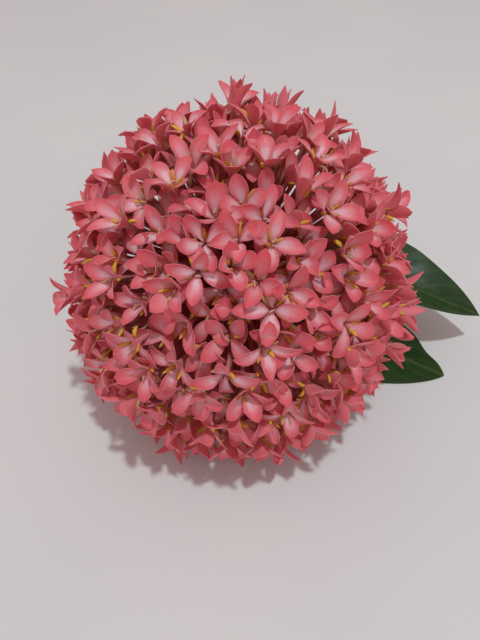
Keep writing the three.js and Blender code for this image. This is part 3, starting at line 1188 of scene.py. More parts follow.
@dataclass
class Petals:
    """The four lobes of every floret, as closed thin shells in four quarters of the head."""

    florets: Florets
    finish: PetalFinish = PetalFinish()
    rows: tuple[float, ...] = (0.0, 0.08, 0.2, 0.34, 0.48, 0.62, 0.76, 0.9, 1.0)
    columns: tuple[float, ...] = (-1.0, -0.52, 0.0, 0.52, 1.0)
    throat_half: float = 0.8  # from the floret's axis to a lobe's foot
    foot_half: float = 0.62
    foot_length: float = 0.05  # share of the lobe's length, as are the rows
    tip_half: float = 0.12
    taper: Span = (0.6, 0.95)  # from blunt to pointed tips
    rim_taper: float = 0.35  # more at the cap's rim
    steep: float = 74.0  # degrees, where a lobe leaves the tube's flare
    flare: float = 0.09  # share of the length in which most of that is gone
    sway: float = 1.3  # of the tip to one side
    keel: Span = (-0.05, 0.38)  # how sharply it is folded along its midline
    waves: Span = (0.7, 1.5)  # along the margin
    wave: float = 0.10  # their height, as a share of the half width
    skew: float = 0.12  # by which one side is wider
    rest: Span = (0.5, 2.4)  # heights that the lowest lobes settle at
    softness: float = 0.8
    thickness: float = 0.42
    margin_thins: float = 0.45  # share of the thickness
    tip_thins: float = 0.35
    near: float = 10.0  # lobes whose middles are nearer than this may cross
    feet: int = 2  # rows at the foot where crossings don't count
    batch: int = 3000  # pairs of lobes looked at in one go
    rounds: int = 28
    swing: Span = (-22.0, 13.0)  # degrees that a crossing lobe may move at a time
    bend: float = 20.0  # degrees more or less that its tip may bend back
    roll: float = 0.35  # more or less twist
    shorten: Span = (-0.02, 0.09)  # share of its length that it may give up
    seed: int = 71

    @staticmethod
    def half_width(u: Array, taper: Array) -> Array:
        """The outlines of lobes, 1 at their widest: a narrow foot and a more or less blunt tip.

        An outline is (u + 0.05)^1.3 * (1 - u)^taper over its value at its peak, which lies at
        u = (1.3 - 0.05 * taper) / (1.3 + taper).

        Args:
            u: Shares of the length, shape (rows,).
            taper: How sharp each lobe's tip is, shape (lobes, 1).

        Returns:
            Half widths, shape (lobes, rows).
        """
        peak = (1.3 - 0.05 * taper) / (1.3 + taper)
        widest = (peak + 0.05) ** 1.3 * (1.0 - peak) ** taper
        return (u + 0.05) ** 1.3 * (1.0 - u) ** taper / widest

    def middle(self) -> Array:
        """Works out the middle surface of every lobe.

        The slope over the floret's plane is lift + (steep - lift) * exp(-u / flare) - curl * u^1.4,
        and its midline is the sum of the slopes, swayed a little to one side. Across, a point goes
        half width * v along the twisted side direction, a little more on one side than on the
        other, and half width * (hollow * v^2 + keel * |v| + wave) out of the face, where the wave
        is a slow sine along the margin. The lowest lobes are settled on the surface.

        Returns:
            The points, shape (lobes, rows, columns, 3).
        """
        f = self.florets
        rng = np.random.default_rng(self.seed)
        count = f.lift.size
        each = (count, 1, 1)
        u, v = np.array(self.rows), np.array(self.columns)

        def flat(values: Array) -> Array:
            """One value for each lobe, to meet rows."""
            return values.reshape(count, 1)

        away = f.away().reshape(count, 1, 3)
        nod = np.repeat(f.nod, LOBES, axis=0)[:, None]
        throat = np.repeat(f.throat, LOBES, axis=0)[:, None]
        side = np.cross(nod, away)
        lift = flat(f.lift)
        flare = (self.steep - lift) * np.exp(-u / self.flare)
        slope = np.radians(lift + flare - flat(f.curl) * u**1.4)
        between = slope.copy()
        between[:, 1:] = (slope[:, 1:] + slope[:, :-1]) / 2.0
        reach, height = climbed(between, np.diff(u, prepend=0.0) * flat(f.length))
        reach = self.throat_half + reach
        sway = flat(rng.uniform(-self.sway, self.sway, count)) * u**2
        spine = throat + away * reach[..., None] + nod * height[..., None] + side * sway[..., None]

        ahead = swung(away, nod, slope)
        across = swung(side, np.cross(ahead, side), flat(f.twist) * u)
        face = np.cross(ahead, across)

        taper = flat(rng.uniform(*self.taper, count) + self.rim_taper * np.repeat(f.rim, LOBES))
        half = np.maximum(self.half_width(u, taper) * flat(f.half), self.tip_half)
        half = np.where(u < self.foot_length, self.foot_half, half)[..., None]
        keel = rng.uniform(*self.keel, each)
        phase = rng.uniform(0.0, 2.0 * math.pi, each)
        turn = 2.0 * math.pi * rng.uniform(*self.waves, each) * u[None, :, None] + phase + v
        wave = self.wave * np.sin(turn) * np.abs(v) ** 1.5
        hollow = flat(f.hollow)[..., None] * (0.35 + 0.65 * np.sin(math.pi * u)[None, :, None])
        rise = half * (hollow * v**2 + keel * np.abs(v) + wave)
        skew = 1.0 + self.skew * rng.uniform(-1.0, 1.0, each) * v
        middle = (
            spine[:, :, None]
            + across[:, :, None] * (half * v * skew)[..., None]
            + face[:, :, None] * rise[..., None]
        )
        return settle(middle, rng.uniform(*self.rest, each), self.softness)

    def crossings(self, middle: Array, pairs: Array) -> Array:
        """How often each lobe crosses the others or is crossed by them.

        A piece of margin from p to q crosses a triangle where p and q lie on different sides of its
        plane, and where the line p q passes its three edges on the same side. A line from x to y is
        kept as its direction y - x and its moment, the cross product of x and y. The side on which
        two lines pass is the sign of one's direction times the other's moment, plus the same the
        other way round. Feet are left out.

        Args:
            middle: The middle surfaces, shape (lobes, rows, columns, 3).
            pairs: Which lobe's margins are set against which lobe's surface, shape (pairs, 2).

        Returns:
            The count, shape (florets, lobes).
        """
        n = len(middle)
        blade = middle[:, self.feet :]
        margin = blade[:, :, [0, -1]].transpose(0, 2, 1, 3)
        p, q = margin[:, :, :-1].reshape(n, -1, 3), margin[:, :, 1:].reshape(n, -1, 3)
        line = np.concatenate([q - p, np.cross(p, q)], axis=-1)
        grid = blade[:, ::2, ::2]
        a, b, c, d = grid[:, :-1, :-1], grid[:, 1:, :-1], grid[:, 1:, 1:], grid[:, :-1, 1:]
        halves = [np.stack([a, b, c], axis=-2), np.stack([a, c, d], axis=-2)]
        corner = np.stack(halves, axis=1).reshape(n, -1, 3, 3)
        after = np.roll(corner, -1, axis=2)
        edge = np.concatenate([np.cross(corner, after), after - corner], axis=-1)
        normal = np.cross(corner[:, :, 1] - corner[:, :, 0], corner[:, :, 2] - corner[:, :, 0])
        level = (normal * corner[:, :, 0]).sum(-1)[:, None]
        hits = [np.zeros(0)]
        for part in np.array_split(pairs, len(pairs) // self.batch + 1):
            i, j = part.T
            side = line[i] @ edge[j].reshape(len(j), -1, 6).transpose(0, 2, 1)
            side = side.reshape(*side.shape[:2], -1, 3)
            across = normal[j].transpose(0, 2, 1)
            apart = (p[i] @ across - level[j]) * (q[i] @ across - level[j]) < 0
            through = (side > 0).all(-1) | (side < 0).all(-1)
            hits.append((apart & through).sum(axis=(1, 2)))
        found = np.concatenate(hits)
        count = np.bincount(pairs[:, 0], found, n) + np.bincount(pairs[:, 1], found, n)
        return count.reshape(self.florets.lift.shape)

    def ease_apart(self) -> None:
        """Moves lobes that cross others, where that frees them.

        In each round half of the lobes that cross another, drawn at random, try a small change of
        lift, curl, twist and length, and keep it if they then cross less often.
        """
        f = self.florets
        rng = np.random.default_rng(self.seed + 1)
        shape = f.lift.shape
        middles = self.middle()[:, len(self.rows) // 2, len(self.columns) // 2]
        apart = np.linalg.norm(middles[:, None] - middles[None], axis=-1)
        np.fill_diagonal(apart, np.inf)
        pairs = np.argwhere(apart < self.near)
        for _ in range(self.rounds):
            crossed = self.crossings(self.middle(), pairs)
            LOG.info("lobes that cross: %d, crossings: %d", (crossed > 0).sum(), crossed.sum() / 2)
            tried = (crossed > 0) & (rng.uniform(0.0, 1.0, shape) < 0.5)
            before = {n: getattr(f, n) for n in ("lift", "curl", "twist", "length")}
            f.lift = f.lift + tried * rng.uniform(*self.swing, shape)
            f.curl = f.curl + tried * rng.uniform(-self.bend, self.bend, shape)
            f.twist = f.twist + tried * rng.uniform(-self.roll, self.roll, shape)
            f.length = f.length * (1.0 - tried * rng.uniform(*self.shorten, shape))
            theirs = pairs[tried.reshape(-1)[pairs].any(axis=1)]
            worse = self.crossings(self.middle(), theirs) >= crossed
            for name, values in before.items():
                setattr(f, name, np.where(tried & worse, values, getattr(f, name)))

    def build(self) -> None:
        """Makes the pieces, one for each quarter turn about the head's upright axis.

        A lobe is thick at its foot and midline, and thins towards its margin by v^2 and towards
        its tip by u.
        """
        self.ease_apart()
        middle = self.middle()
        shape = middle.shape[:3]
        u, v = np.array(self.rows)[None, :, None], np.array(self.columns)[None, None, :]
        thick = self.thickness * (1.0 - self.margin_thins * v**2) * (1.0 - self.tip_thins * u)
        thick = np.broadcast_to(thick, shape)
        values = {"along": u, "across": v, "tone": self.florets.tone.reshape(-1, 1, 1)}
        marks = {name: np.broadcast_to(value, shape) for name, value in values.items()}
        out = np.repeat(self.florets.out, LOBES, axis=0)
        turn = np.arctan2(out[:, 0], -out[:, 1]) + math.pi
        quarter = np.floor(turn / (math.pi / 2.0)).astype(int) % len(Quarter)
        material = self.finish.make()
        for k, name in enumerate(Quarter):
            own = quarter == k
            chosen = {mark: values[own] for mark, values in marks.items()}
            surface = thin_shells(middle[own], thick[own], chosen)
            place_piece(name.value, surface, material, Node.HEAD)


@dataclass
class Tubes:
    """The slender corolla tubes, from the calyces to the funnel-shaped throats."""

    florets: Florets
    centre: Point
    finish: TubeFinish = TubeFinish()
    root: float = 15.5  # from the head's centre
    sides: int = 6
    steps: tuple[float, ...] = (0.0, 0.12, 0.3, 0.5, 0.7, 0.86, 0.95, 1.0)
    radii: tuple[float, ...] = (0.38, 0.46, 0.5, 0.54, 0.58, 0.64, 0.74, 0.98)
    funnel_drop: tuple[float, ...] = (0.1, 0.6, 1.1)
    funnel_radii: tuple[float, ...] = (0.74, 0.5, 0.36)
    funnel_marks: Span = (0.4, 1.0)  # of how far inside its rings are
    thickness: Span = (0.92, 1.1)  # as a share of the radii
    rest: float = 0.4
    softness: float = 0.5
    seed: int = 13

    def path(self, share: Array) -> Array:
        """Points of each tube's middle line.

        A cubic that leaves its root along the radius and comes to the throat along the nod:
        the Hermite blend of both ends and of both directions times the distance between them.

        Args:
            share: Places along it, from 0 at the root to 1 at the throat.

        Returns:
            The points, shape (florets, shares, 3).
        """
        f = self.florets
        start = (np.array(self.centre) + f.out * self.root)[:, None]
        end = f.throat[:, None]
        chord = np.linalg.norm(end - start, axis=-1, keepdims=True)
        leave, arrive = f.out[:, None] * chord, f.nod[:, None] * chord
        t = share[None, :, None]
        return (
            start * (2 * t**3 - 3 * t**2 + 1)
            + leave * (t**3 - 2 * t**2 + t)
            + end * (3 * t**2 - 2 * t**3)
            + arrive * (t**3 - t**2)
        )

    def build(self) -> None:
        """Makes the piece: the outer wall up to the rim, then down the inside of the funnel."""
        f = self.florets
        n = len(f.spin)
        outer = self.path(np.array(self.steps))
        drop = np.array(self.funnel_drop)[None, :, None]
        inner = f.throat[:, None] - f.nod[:, None] * drop
        centres = np.concatenate([outer, inner], axis=1)
        profile = np.array(self.radii + self.funnel_radii)
        rng = np.random.default_rng(self.seed)
        radii = profile[None] * rng.uniform(*self.thickness, (n, 1))
        deep = np.linspace(*self.funnel_marks, len(self.funnel_drop))
        inside = np.concatenate([np.zeros(len(self.steps)), deep])
        along = np.concatenate([self.steps, np.ones(len(deep))])
        marks = {
            "along": along[None, :, None],
            "inside": inside[None, :, None],
            "tone": rng.uniform(0.0, 1.0, (n, 1, 1)),
        }
        surface = swept(centres, radii, self.sides, marks)
        surface.points = settle(surface.points, self.rest, self.softness)
        place_piece("corolla_tubes", surface, self.finish.make(), Node.HEAD, 70.0)


@dataclass
class Anthers:
    """Four slender anthers on short filaments in each throat, between the lobes."""

    florets: Florets
    finish: AntherFinish = AntherFinish()
    sides: int = 6
    present: float = 0.9  # the share that hasn't dropped
    length: Span = (4.2, 5.4)  # with the filament
    half: Span = (0.62, 0.8)
    steps: tuple[float, ...] = (0.0, 0.16, 0.26, 0.42, 0.62, 0.82, 1.0)
    profile: tuple[float, ...] = (0.28, 0.24, 0.75, 1.0, 0.95, 0.62, 0.12)
    flat: float = 0.72  # of its depth to its width
    turn_varies: float = 14.0  # degrees off the middle of the gap
    lift_share: float = 0.8  # of the lobes' mean lift that an anther follows
    rise: Span = (8.0, 36.0)  # and degrees that it stands above that
    bend: Span = (-12.0, 32.0)  # degrees that it bends back on the way
    straight: float = 0.9  # the share that isn't coiled back
    coil: float = 120.0  # degrees
    start: float = 0.85  # from the floret's axis
    sunk: float = 0.1  # below the throat
    rest: float = 0.5
    softness: float = 0.5
    seed: int = 29

    def build(self) -> None:
        """Makes the piece.

        A path starts at the throat's rim in the gap between two lobes. Its slope over the floret's
        plane is rise - bend * share, so that some anthers curl back, and its points are the sum of
        the slopes.
        """
        f = self.florets
        rng = np.random.default_rng(self.seed)
        n = len(f.spin)
        turn = f.spin[:, None] + (np.arange(LOBES) + 0.5) * LOBE_TURN
        turn = turn + np.radians(rng.uniform(-self.turn_varies, self.turn_varies, (n, LOBES)))
        away = swung(f.first[:, None], f.second[:, None], turn)
        keep = rng.uniform(0.0, 1.0, (n, LOBES)) < self.present
        away = away[keep][:, None]
        nod = np.repeat(f.nod[:, None], LOBES, axis=1)[keep][:, None]
        throat = np.repeat(f.throat[:, None], LOBES, axis=1)[keep][:, None]
        mean_lift = np.repeat(f.lift.mean(axis=1, keepdims=True), LOBES, axis=1)[keep][:, None]
        each = (len(away), 1)
        length = rng.uniform(*self.length, each)
        rise = np.radians(mean_lift * self.lift_share + rng.uniform(*self.rise, each))
        bend = rng.uniform(*self.bend, each)
        bend = np.radians(bend + self.coil * (rng.uniform(0.0, 1.0, each) > self.straight))
        share = np.array(self.steps)
        reach, height = climbed(rise - bend * share, np.diff(share, prepend=0.0) * length)
        reach, height = self.start + reach, height - self.sunk
        centres = throat + away * reach[..., None] + nod * height[..., None]
        radii = np.array(self.profile)[None] * rng.uniform(*self.half, each)
        marks = {"along": share[None, :, None], "tone": rng.uniform(0.0, 1.0, (*each, 1))}
        surface = swept(centres, radii, self.sides, marks, flat=np.array(self.flat))
        surface.points = settle(surface.points, self.rest, self.softness)
        place_piece("anthers", surface, self.finish.make(), Node.HEAD, 80.0)


@dataclass
class Styles:
    """The style of each floret, with two spreading stigma lobes."""

    florets: Florets
    finish: StyleFinish = StyleFinish()
    sides: int = 5
    root: float = 1.6  # below the throat
    tall: Span = (1.6, 4.2)  # above it
    over: Span = (0.1, 0.9)  # that the tip leans to one side
    shaft_radii: tuple[float, ...] = (0.22, 0.22, 0.24, 0.28, 0.34)
    lobe_radii: tuple[float, ...] = (0.24, 0.3, 0.26, 0.1)
    spread: float = 0.62  # of a stigma lobe to its side
    spread_varies: Span = (0.8, 1.6)
    lobe_rise: float = 0.95
    lobe_droop: float = 0.35  # share of that rise that it loses towards its tip
    lobe_sunk: float = 0.08  # in the shaft's tip
    rest: float = 0.5
    softness: float = 0.5
    seed: int = 47

    def build(self) -> None:
        """Makes the piece: a shaft out of the throat and two stigma lobes that bend apart.

        A shaft leans over by over * share^2. A stigma lobe goes sideways by spread * t^1.3 and up
        by lobe_rise * t * (1 - lobe_droop * t).
        """
        f = self.florets
        rng = np.random.default_rng(self.seed)
        each = (len(f.spin), 1)
        lean = swung(f.first, f.second, rng.uniform(0.0, 2.0 * math.pi, each[0]))
        tall = rng.uniform(*self.tall, each)
        share = np.linspace(0.0, 1.0, len(self.shaft_radii))
        up = -self.root + (tall + self.root) * share
        over = rng.uniform(*self.over, each) * share**2
        shaft = f.throat[:, None] + f.nod[:, None] * up[..., None] + lean[:, None] * over[..., None]
        radii = np.array(self.shaft_radii)[None] * np.ones(each)
        parts = [swept(shaft, radii, self.sides, {"along": share[None, :, None] * 0.5})]
        side = np.cross(f.nod, lean)[:, None]
        t = np.linspace(0.0, 1.0, len(self.lobe_radii))
        rise = self.lobe_rise * t * (1.0 - self.lobe_droop * t) - self.lobe_sunk
        width = np.array(self.lobe_radii)[None] * np.ones(each)
        for sign in (-1.0, 1.0):
            out = sign * (self.spread * t**1.3) * rng.uniform(*self.spread_varies, each)
            lobe = shaft[:, -1:] + side * out[..., None] + f.nod[:, None] * rise[None, :, None]
            parts.append(swept(lobe, width, self.sides, {"along": 0.6 + 0.4 * t[None, :, None]}))
        surface = Surface.joined(parts)
        surface.points = settle(surface.points, self.rest, self.softness)
        place_piece("styles", surface, self.finish.make(), Node.HEAD, 80.0)


@dataclass
class FlowerStalk:
    """The close-branched stalk inside the head: a peduncle, three orders of branches, calyces."""

    florets: Florets
    centre: Point
    neck: Array  # where the sprig's stem ends
    finish: StalkFinish = StalkFinish()
    boughs: int = 7
    twigs: int = 34
    bough_reach: float = 5.0
    twig_reach: float = 10.5
    calyx_reach: float = 14.4
    peduncle: Span = (1.8, 1.7)  # radii at its foot and tip, as of those below
    bough: Span = (1.5, 1.2)
    twig: Span = (1.1, 0.85)
    pedicel: Span = (0.55, 0.42)
    sides: tuple[int, ...] = (10, 8, 7, 5)  # corners of those four
    steps: int = 5  # along a branch
    bow: float = 0.08  # of a branch, as a share of its length
    bow_axis: Point = (0.3, 0.5, 0.8)  # square to which branches bow
    swell: float = 0.18  # share of the tip's radius by which the ends are thicker
    calyx_rise: tuple[float, ...] = (0.0, 0.4, 1.0, 1.6, 1.9, 2.0, 1.5)
    calyx_radii: tuple[float, ...] = (0.35, 0.66, 0.78, 0.66, 0.74, 0.5, 0.42)
    calyx_sunk: float = 0.2  # over the tip of its branch
    calyx_sides: int = 6

    @staticmethod
    def gathered(directions: Array, count: int) -> tuple[Array, Array]:
        """Gathers directions into groups around evenly spread members.

        Args:
            directions: Unit vectors.
            count: How many groups.

        Returns:
            Each group's mean direction, and the group of each direction.
        """
        seeds = directions[np.linspace(0, len(directions) - 1, count).astype(int)]
        group = np.argmax(directions @ seeds.T, axis=1)
        means = unit(np.stack([directions[group == k].sum(axis=0) for k in range(count)]))
        return means, group

    def limb(self, start: Array, end: Array, thick: Span, sides: int) -> Surface:
        """Branches that bow a little on the way and swell at both ends and halfway.

        The bow is a half sine, and the swelling goes with the square of cos(2 * pi * share).

        Args:
            start: Where each begins.
            end: Where each ends.
            thick: Their radii at both.
            sides: Corners of their section.

        Returns:
            The branches.
        """
        t = np.linspace(0.0, 1.0, self.steps)
        sag = np.cross(end - start, np.array(self.bow_axis)) * self.bow
        path = start[:, None] + (end - start)[:, None] * t[None, :, None]
        path = path + sag[:, None] * np.sin(math.pi * t)[None, :, None]
        swell = self.swell * thick[1] * np.cos(2 * math.pi * t) ** 2
        radius = thick[0] + (thick[1] - thick[0]) * t + swell
        radii = np.broadcast_to(radius, (len(start), self.steps))
        return swept(path, radii, sides, {"along": t[None, :, None] * 0.5})

    def build(self) -> None:
        """Makes the piece: the branches from the stem's neck outwards, then the calyces."""
        f = self.florets
        centre = np.array(self.centre)
        twig, of_floret = self.gathered(f.out, self.twigs)
        bough, of_twig = self.gathered(twig, self.boughs)
        bough_tip = centre + bough * self.bough_reach
        twig_tip = centre + twig * self.twig_reach
        foot = centre + f.out * self.calyx_reach
        middle = np.broadcast_to(centre, bough_tip.shape)
        orders = (
            (self.neck[None], centre[None], self.peduncle),
            (middle, bough_tip, self.bough),
            (bough_tip[of_twig], twig_tip, self.twig),
            (twig_tip[of_floret], foot, self.pedicel),
        )
        parts = [self.limb(*order, sides) for order, sides in zip(orders, self.sides)]
        rise = (np.array(self.calyx_rise) - self.calyx_sunk)[None, :, None]
        radii = np.broadcast_to(np.array(self.calyx_radii), (len(foot), len(self.calyx_radii)))
        cups = foot[:, None] + f.out[:, None] * rise
        along = np.linspace(0.5, 1.0, len(self.calyx_radii))[None, :, None]
        parts.append(swept(cups, radii, self.calyx_sides, {"along": along}))
        surface = Surface.joined(parts)
        place_piece("flower_stalk", surface, self.finish.make(), Node.HEAD, 80.0)


@dataclass
class Stem:
    """The leafy twig under the head, down to its cut end."""

    centre: Point
    finish: StemFinish = StemFinish()
    route: tuple[Point, ...] = (
        (0, 0, 0), (3, 16, -13), (7, 33, -26), (12, 52, -37), (18, 77, -45.2),
    )
    radius: float = 1.75
    end_radius: float = 2.1
    swell: float = 0.9
    swell_length: float = 0.025  # as a share of the route
    nodes: Span = (0.395, 0.655)
    top: float = 13.0  # from the head's centre along the route
    neck_depth: float = 1.0  # below the top, where the flower stalk begins
    ripples: tuple[Point, ...] = ((0.025, 61.0, 0.0), (0.02, 143.0, 1.0))  # as build() says
    rings: int = 110
    sides: int = 18
    cap_radii: tuple[float, ...] = (0.97, 0.9, 0.72, 0.5, 0.3, 0.1, 0.02)  # as shares
    cap_out: tuple[float, ...] = (0.06, 0.10, 0.06, 0.02, -0.1, -0.12, -0.12)
    rest: float = 0.05
    softness: float = 0.25
    stipule: float = 3.4  # length
    stipule_half: float = 1.9
    stipule_tip: float = 0.08
    stipule_wrap: float = 0.9  # radians that each half goes round the stem
    stipule_gap: float = 0.12
    stipule_flare: float = 0.5
    stipule_foot: float = 0.4  # beyond the leaf pair
    stipule_thickness: float = 0.28
    stipule_tone: float = 0.3  # its place in the bark's colours

    def curve(self) -> Route:
        """The stem's middle line from the head's centre."""
        return Route(np.array(self.route) + np.array(self.centre))

    def neck(self) -> Array:
        """The point where the flower stalk begins, a little below the stem's top."""
        curve = self.curve()
        return curve.at((self.top + self.neck_depth) / curve.length)[0]

    def radius_at(self, share: Array | float) -> Array:
        """From radius to end_radius, with a bell-shaped swelling at each leaf pair.

        Args:
            share: Places along the route.

        Returns:
            The radii.
        """
        s = np.atleast_1d(share)[..., None]
        swell = np.exp(-(((s - np.array(self.nodes)) / self.swell_length) ** 2)).sum(-1)
        return self.radius + (self.end_radius - self.radius) * s[..., 0] + self.swell * swell

    def stipules(self, curve: Route, leaf_sides: dict[int, Array]) -> Surface:
        """Two small pointed flaps at each leaf pair, between the leaf stalks.

        A flap's half width falls with (1 - u)^0.8 towards its tip. It is wrapped round the stem
        and stands off by stipule_gap + stipule_flare * u^2.

        Args:
            curve: The stem's middle line.
            leaf_sides: For each leaf pair, a direction across the stem to one of its leaves.

        Returns:
            The flaps.
        """
        forms = []
        u, v = np.linspace(0.0, 1.0, 6), np.linspace(-1.0, 1.0, 5)
        half = self.stipule_half * (1.0 - u) ** 0.8 + self.stipule_tip
        bend = v * self.stipule_wrap * (half / self.stipule_half)[:, None]
        for k, node in enumerate(self.nodes):
            along = curve.slope(node)[0]
            foot = curve.at(node)[0] + along * self.stipule_foot
            side = leaf_sides[k] - along * (leaf_sides[k] @ along)
            radius = float(self.radius_at(node)[0]) + self.stipule_gap + self.stipule_flare * u**2
            spine = foot - along * (u * self.stipule)[:, None, None]
            for sign in (-1.0, 1.0):
                away = unit(np.cross(along, side)) * sign
                around = swung(away, np.cross(along, away), bend)
                forms.append(spine + around * radius[:, None, None])
        middle = np.stack(forms)
        levels = {"along": self.stipule_tone, "round": 0.0, "cut": 0.0}
        marks = {name: np.full(middle.shape[:3], level) for name, level in levels.items()}
        return thin_shells(middle, np.array(self.stipule_thickness), marks)

    def build(self, leaf_sides: dict[int, Array]) -> None:
        """Makes the piece: a round twig with faint ripples, whose last rings close the cut end.

        A ripple's share of the radius is height * sin(share of the route * pace + start).

        Args:
            leaf_sides: For each leaf pair, a direction across the stem to one of its leaves.
        """
        curve = self.curve()
        share = np.linspace(self.top / curve.length, 1.0, self.rings)
        centres = curve.at(share)
        rippled = np.ones(self.rings)
        for height, pace, start in self.ripples:
            rippled = rippled + height * np.sin(share * pace + start)
        radii = self.radius_at(share) * rippled
        end = curve.slope(1.0)[0]
        cap = np.array(self.cap_radii)
        centres = np.concatenate([centres, centres[-1] + end * np.array(self.cap_out)[:, None]])
        radii = np.concatenate([radii, radii[-1] * cap])
        cut = np.concatenate([np.zeros(self.rings), 1.0 - cap])
        along = np.concatenate([share, np.ones(len(cap))])
        marks = {"along": along[None, :, None], "cut": cut[None, :, None]}
        body = swept(centres[None], radii[None], self.sides, marks)
        body.points = settle(body.points, self.rest, self.softness)
        surface = Surface.joined([body, self.stipules(curve, leaf_sides)])
        place_piece("sprig_stem", surface, self.finish.make(), Node.STEM, 60.0)


@dataclass
class Leaf:
    """One leathery leaf: a blade folded along its midrib, on a short stout petiole."""

    name: str
    node: Node
    pair: int  # its place among the stem's leaf pairs
    half: float  # half width at its widest place
    fold: float  # degrees that each half rises from the flat
    route: tuple[Point, ...]
    face: Point
    seed: int
    petiole_half: float = 1.1
    petiole_share: float = 0.07
    widest: float = 0.53
    pointed: float = 0.75
    notch: float = 0.0  # share of the width that the far side loses near the tip
    notch_at: float = 0.9
    notch_length: float = 0.06
    tip_half: float = 0.3
    tip_fades: float = 0.2  # share of the length over which thickness and rib fade
    thickness: float = 0.55
    margin_thins: float = 0.55  # share of the thickness
    gap: float = 0.1
    rows: int = 84
    row_crowding: float = 0.03
    columns: int = 33
    column_crowding: float = 1.12
    blade_sets_in: float = 0.10  # share of the length over which it does
    fold_round: float = 0.02  # how gently the halves meet at the midrib
    veins: float = 8.5  # pairs of side veins
    vein_slant: float = 1.84  # by how many veins' distances one climbs up to the margin
    vein_varies: float = 0.12
    vein_half: float = 0.075  # as a share of the distance between veins
    vein_starts: float = 0.04  # share of the half width that the midrib takes
    vein_ends: float = 0.85  # share of it where they begin to fade
    puff: float = 0.11  # of the blade between veins
    rib_half: float = 0.55
    rib_sunk: float = 0.2
    rib_depth: float = 0.9
    rib_thins: float = 0.25  # share of that depth that it loses beyond the petiole
    wave: float = 0.35  # of the margin
    rest: float = 0.35
    softness: float = 0.25
    lowest: float = 0.02  # height of the underside where it lies on the surface

    def half_width(self, s: Array) -> Array:
        """Half the width at a share of the length.

        The petiole's half width up to its end, then half * (1 - x^2)^pointed, where x goes from 1
        at the petiole to 0 at the widest place and back to 1 at the tip.

        Args:
            s: Shares of the length.

        Returns:
            The half widths.
        """
        foot = (self.widest - s) / (self.widest - self.petiole_share)
        tip = (s - self.widest) / (1.0 - self.widest)
        x = np.clip(np.where(s < self.widest, foot, tip), 0.0, 1.0)
        least = np.where(s < self.widest, self.petiole_half, self.tip_half)
        blade = np.maximum(self.half * (1.0 - x**2) ** self.pointed, least)
        return np.where(s < self.petiole_share, self.petiole_half, blade)

    def foot(self, stem: Stem) -> tuple[Array, Array]:
        """Where the leaf leaves the stem, and the direction in which it does.

        Args:
            stem: The stem that carries it.

        Returns:
            The point and the unit direction.
        """
        curve = stem.curve()
        share = stem.nodes[self.pair]
        centre, along = curve.at(share)[0], curve.slope(share)[0]
        first = np.array(self.route[0]) + np.array(stem.centre) - centre
        away = unit(first - along * (first @ along))
        return centre + away * (float(stem.radius_at(share)[0]) - self.gap), away

    def side_veins(self, s: Array, v: Array, rng: np.random.Generator) -> Array:
        """How many veins lie between the leaf's foot and a point, a whole number on each vein.

        It is veins * s - vein_slant * |v|^1.25, a little uneven, so the veins leave the midrib
        slanting and arch towards the tip.

        Args:
            s: Shares of the length, shape (rows, 1).
            v: Places across, from -1 to 1, shape (columns,).
            rng: Draws how the unevenness begins.

        Returns:
            The numbers, shape (rows, columns).
        """
        uneven = self.vein_varies * np.sin(s * 9.0 + np.sign(v) * 1.3 + rng.uniform(0, 6))
        return self.veins * s - self.vein_slant * np.abs(v) ** 1.25 + uneven

    def margin(self, s: Array, v: Array, half: Array, rng: np.random.Generator) -> Array:
        """The margin's slow waves: two sines along it, which grow with |v|^2.2 and the width.

        Args:
            s: Shares of the length, shape (rows, 1).
            v: Places across, from -1 to 1, shape (columns,).
            half: Half widths, shape (rows, 1).
            rng: Draws how the sines begin.

        Returns:
            The heights, shape (rows, columns).
        """
        phase = rng.uniform(0, 2 * math.pi, 2)
        slow = np.sin(s * 13.0 + phase[0] + (v > 0) * 1.9)
        fast = np.sin(s * 23.0 + phase[1] - (v > 0) * 1.1)
        return self.wave * half / self.half * np.abs(v) ** 2.2 * (slow + 0.5 * fast)

    def build(self, stem: Stem, material: bpy.types.Material) -> None:
        """Makes the piece.

        A point is midline + side * across * half width + up * (fold's rise + the blade's puffs
        between veins - the sunk midrib + the margin's waves). The rows crowd a little towards the
        middle of the length, and the columns towards the midrib. The thickness falls from the
        petiole's to the blade's, and is less at the margin and the tip and more at the midrib.

        Args:
            stem: The stem that carries it.
            material: The finish that all leaves share.
        """
        start, away = self.foot(stem)
        curve = Route(np.concatenate([start[None], np.array(self.route) + np.array(stem.centre)]))
        rng = np.random.default_rng(self.seed)
        share = np.linspace(0.0, 1.0, self.rows)
        share = share + self.row_crowding * np.sin(2 * math.pi * share) / (2 * math.pi)
        v = np.linspace(-1.0, 1.0, self.columns)
        v = np.sign(v) * np.abs(v) ** self.column_crowding
        along = curve.slope(share)
        along[0] = away
        side = unit(np.cross(along, np.array(self.face, dtype=float)))
        up = np.cross(side, along)
        s, half = share[:, None], self.half_width(share)[:, None]
        blade = np.clip((s - self.petiole_share) / self.blade_sets_in, 0.0, 1.0)

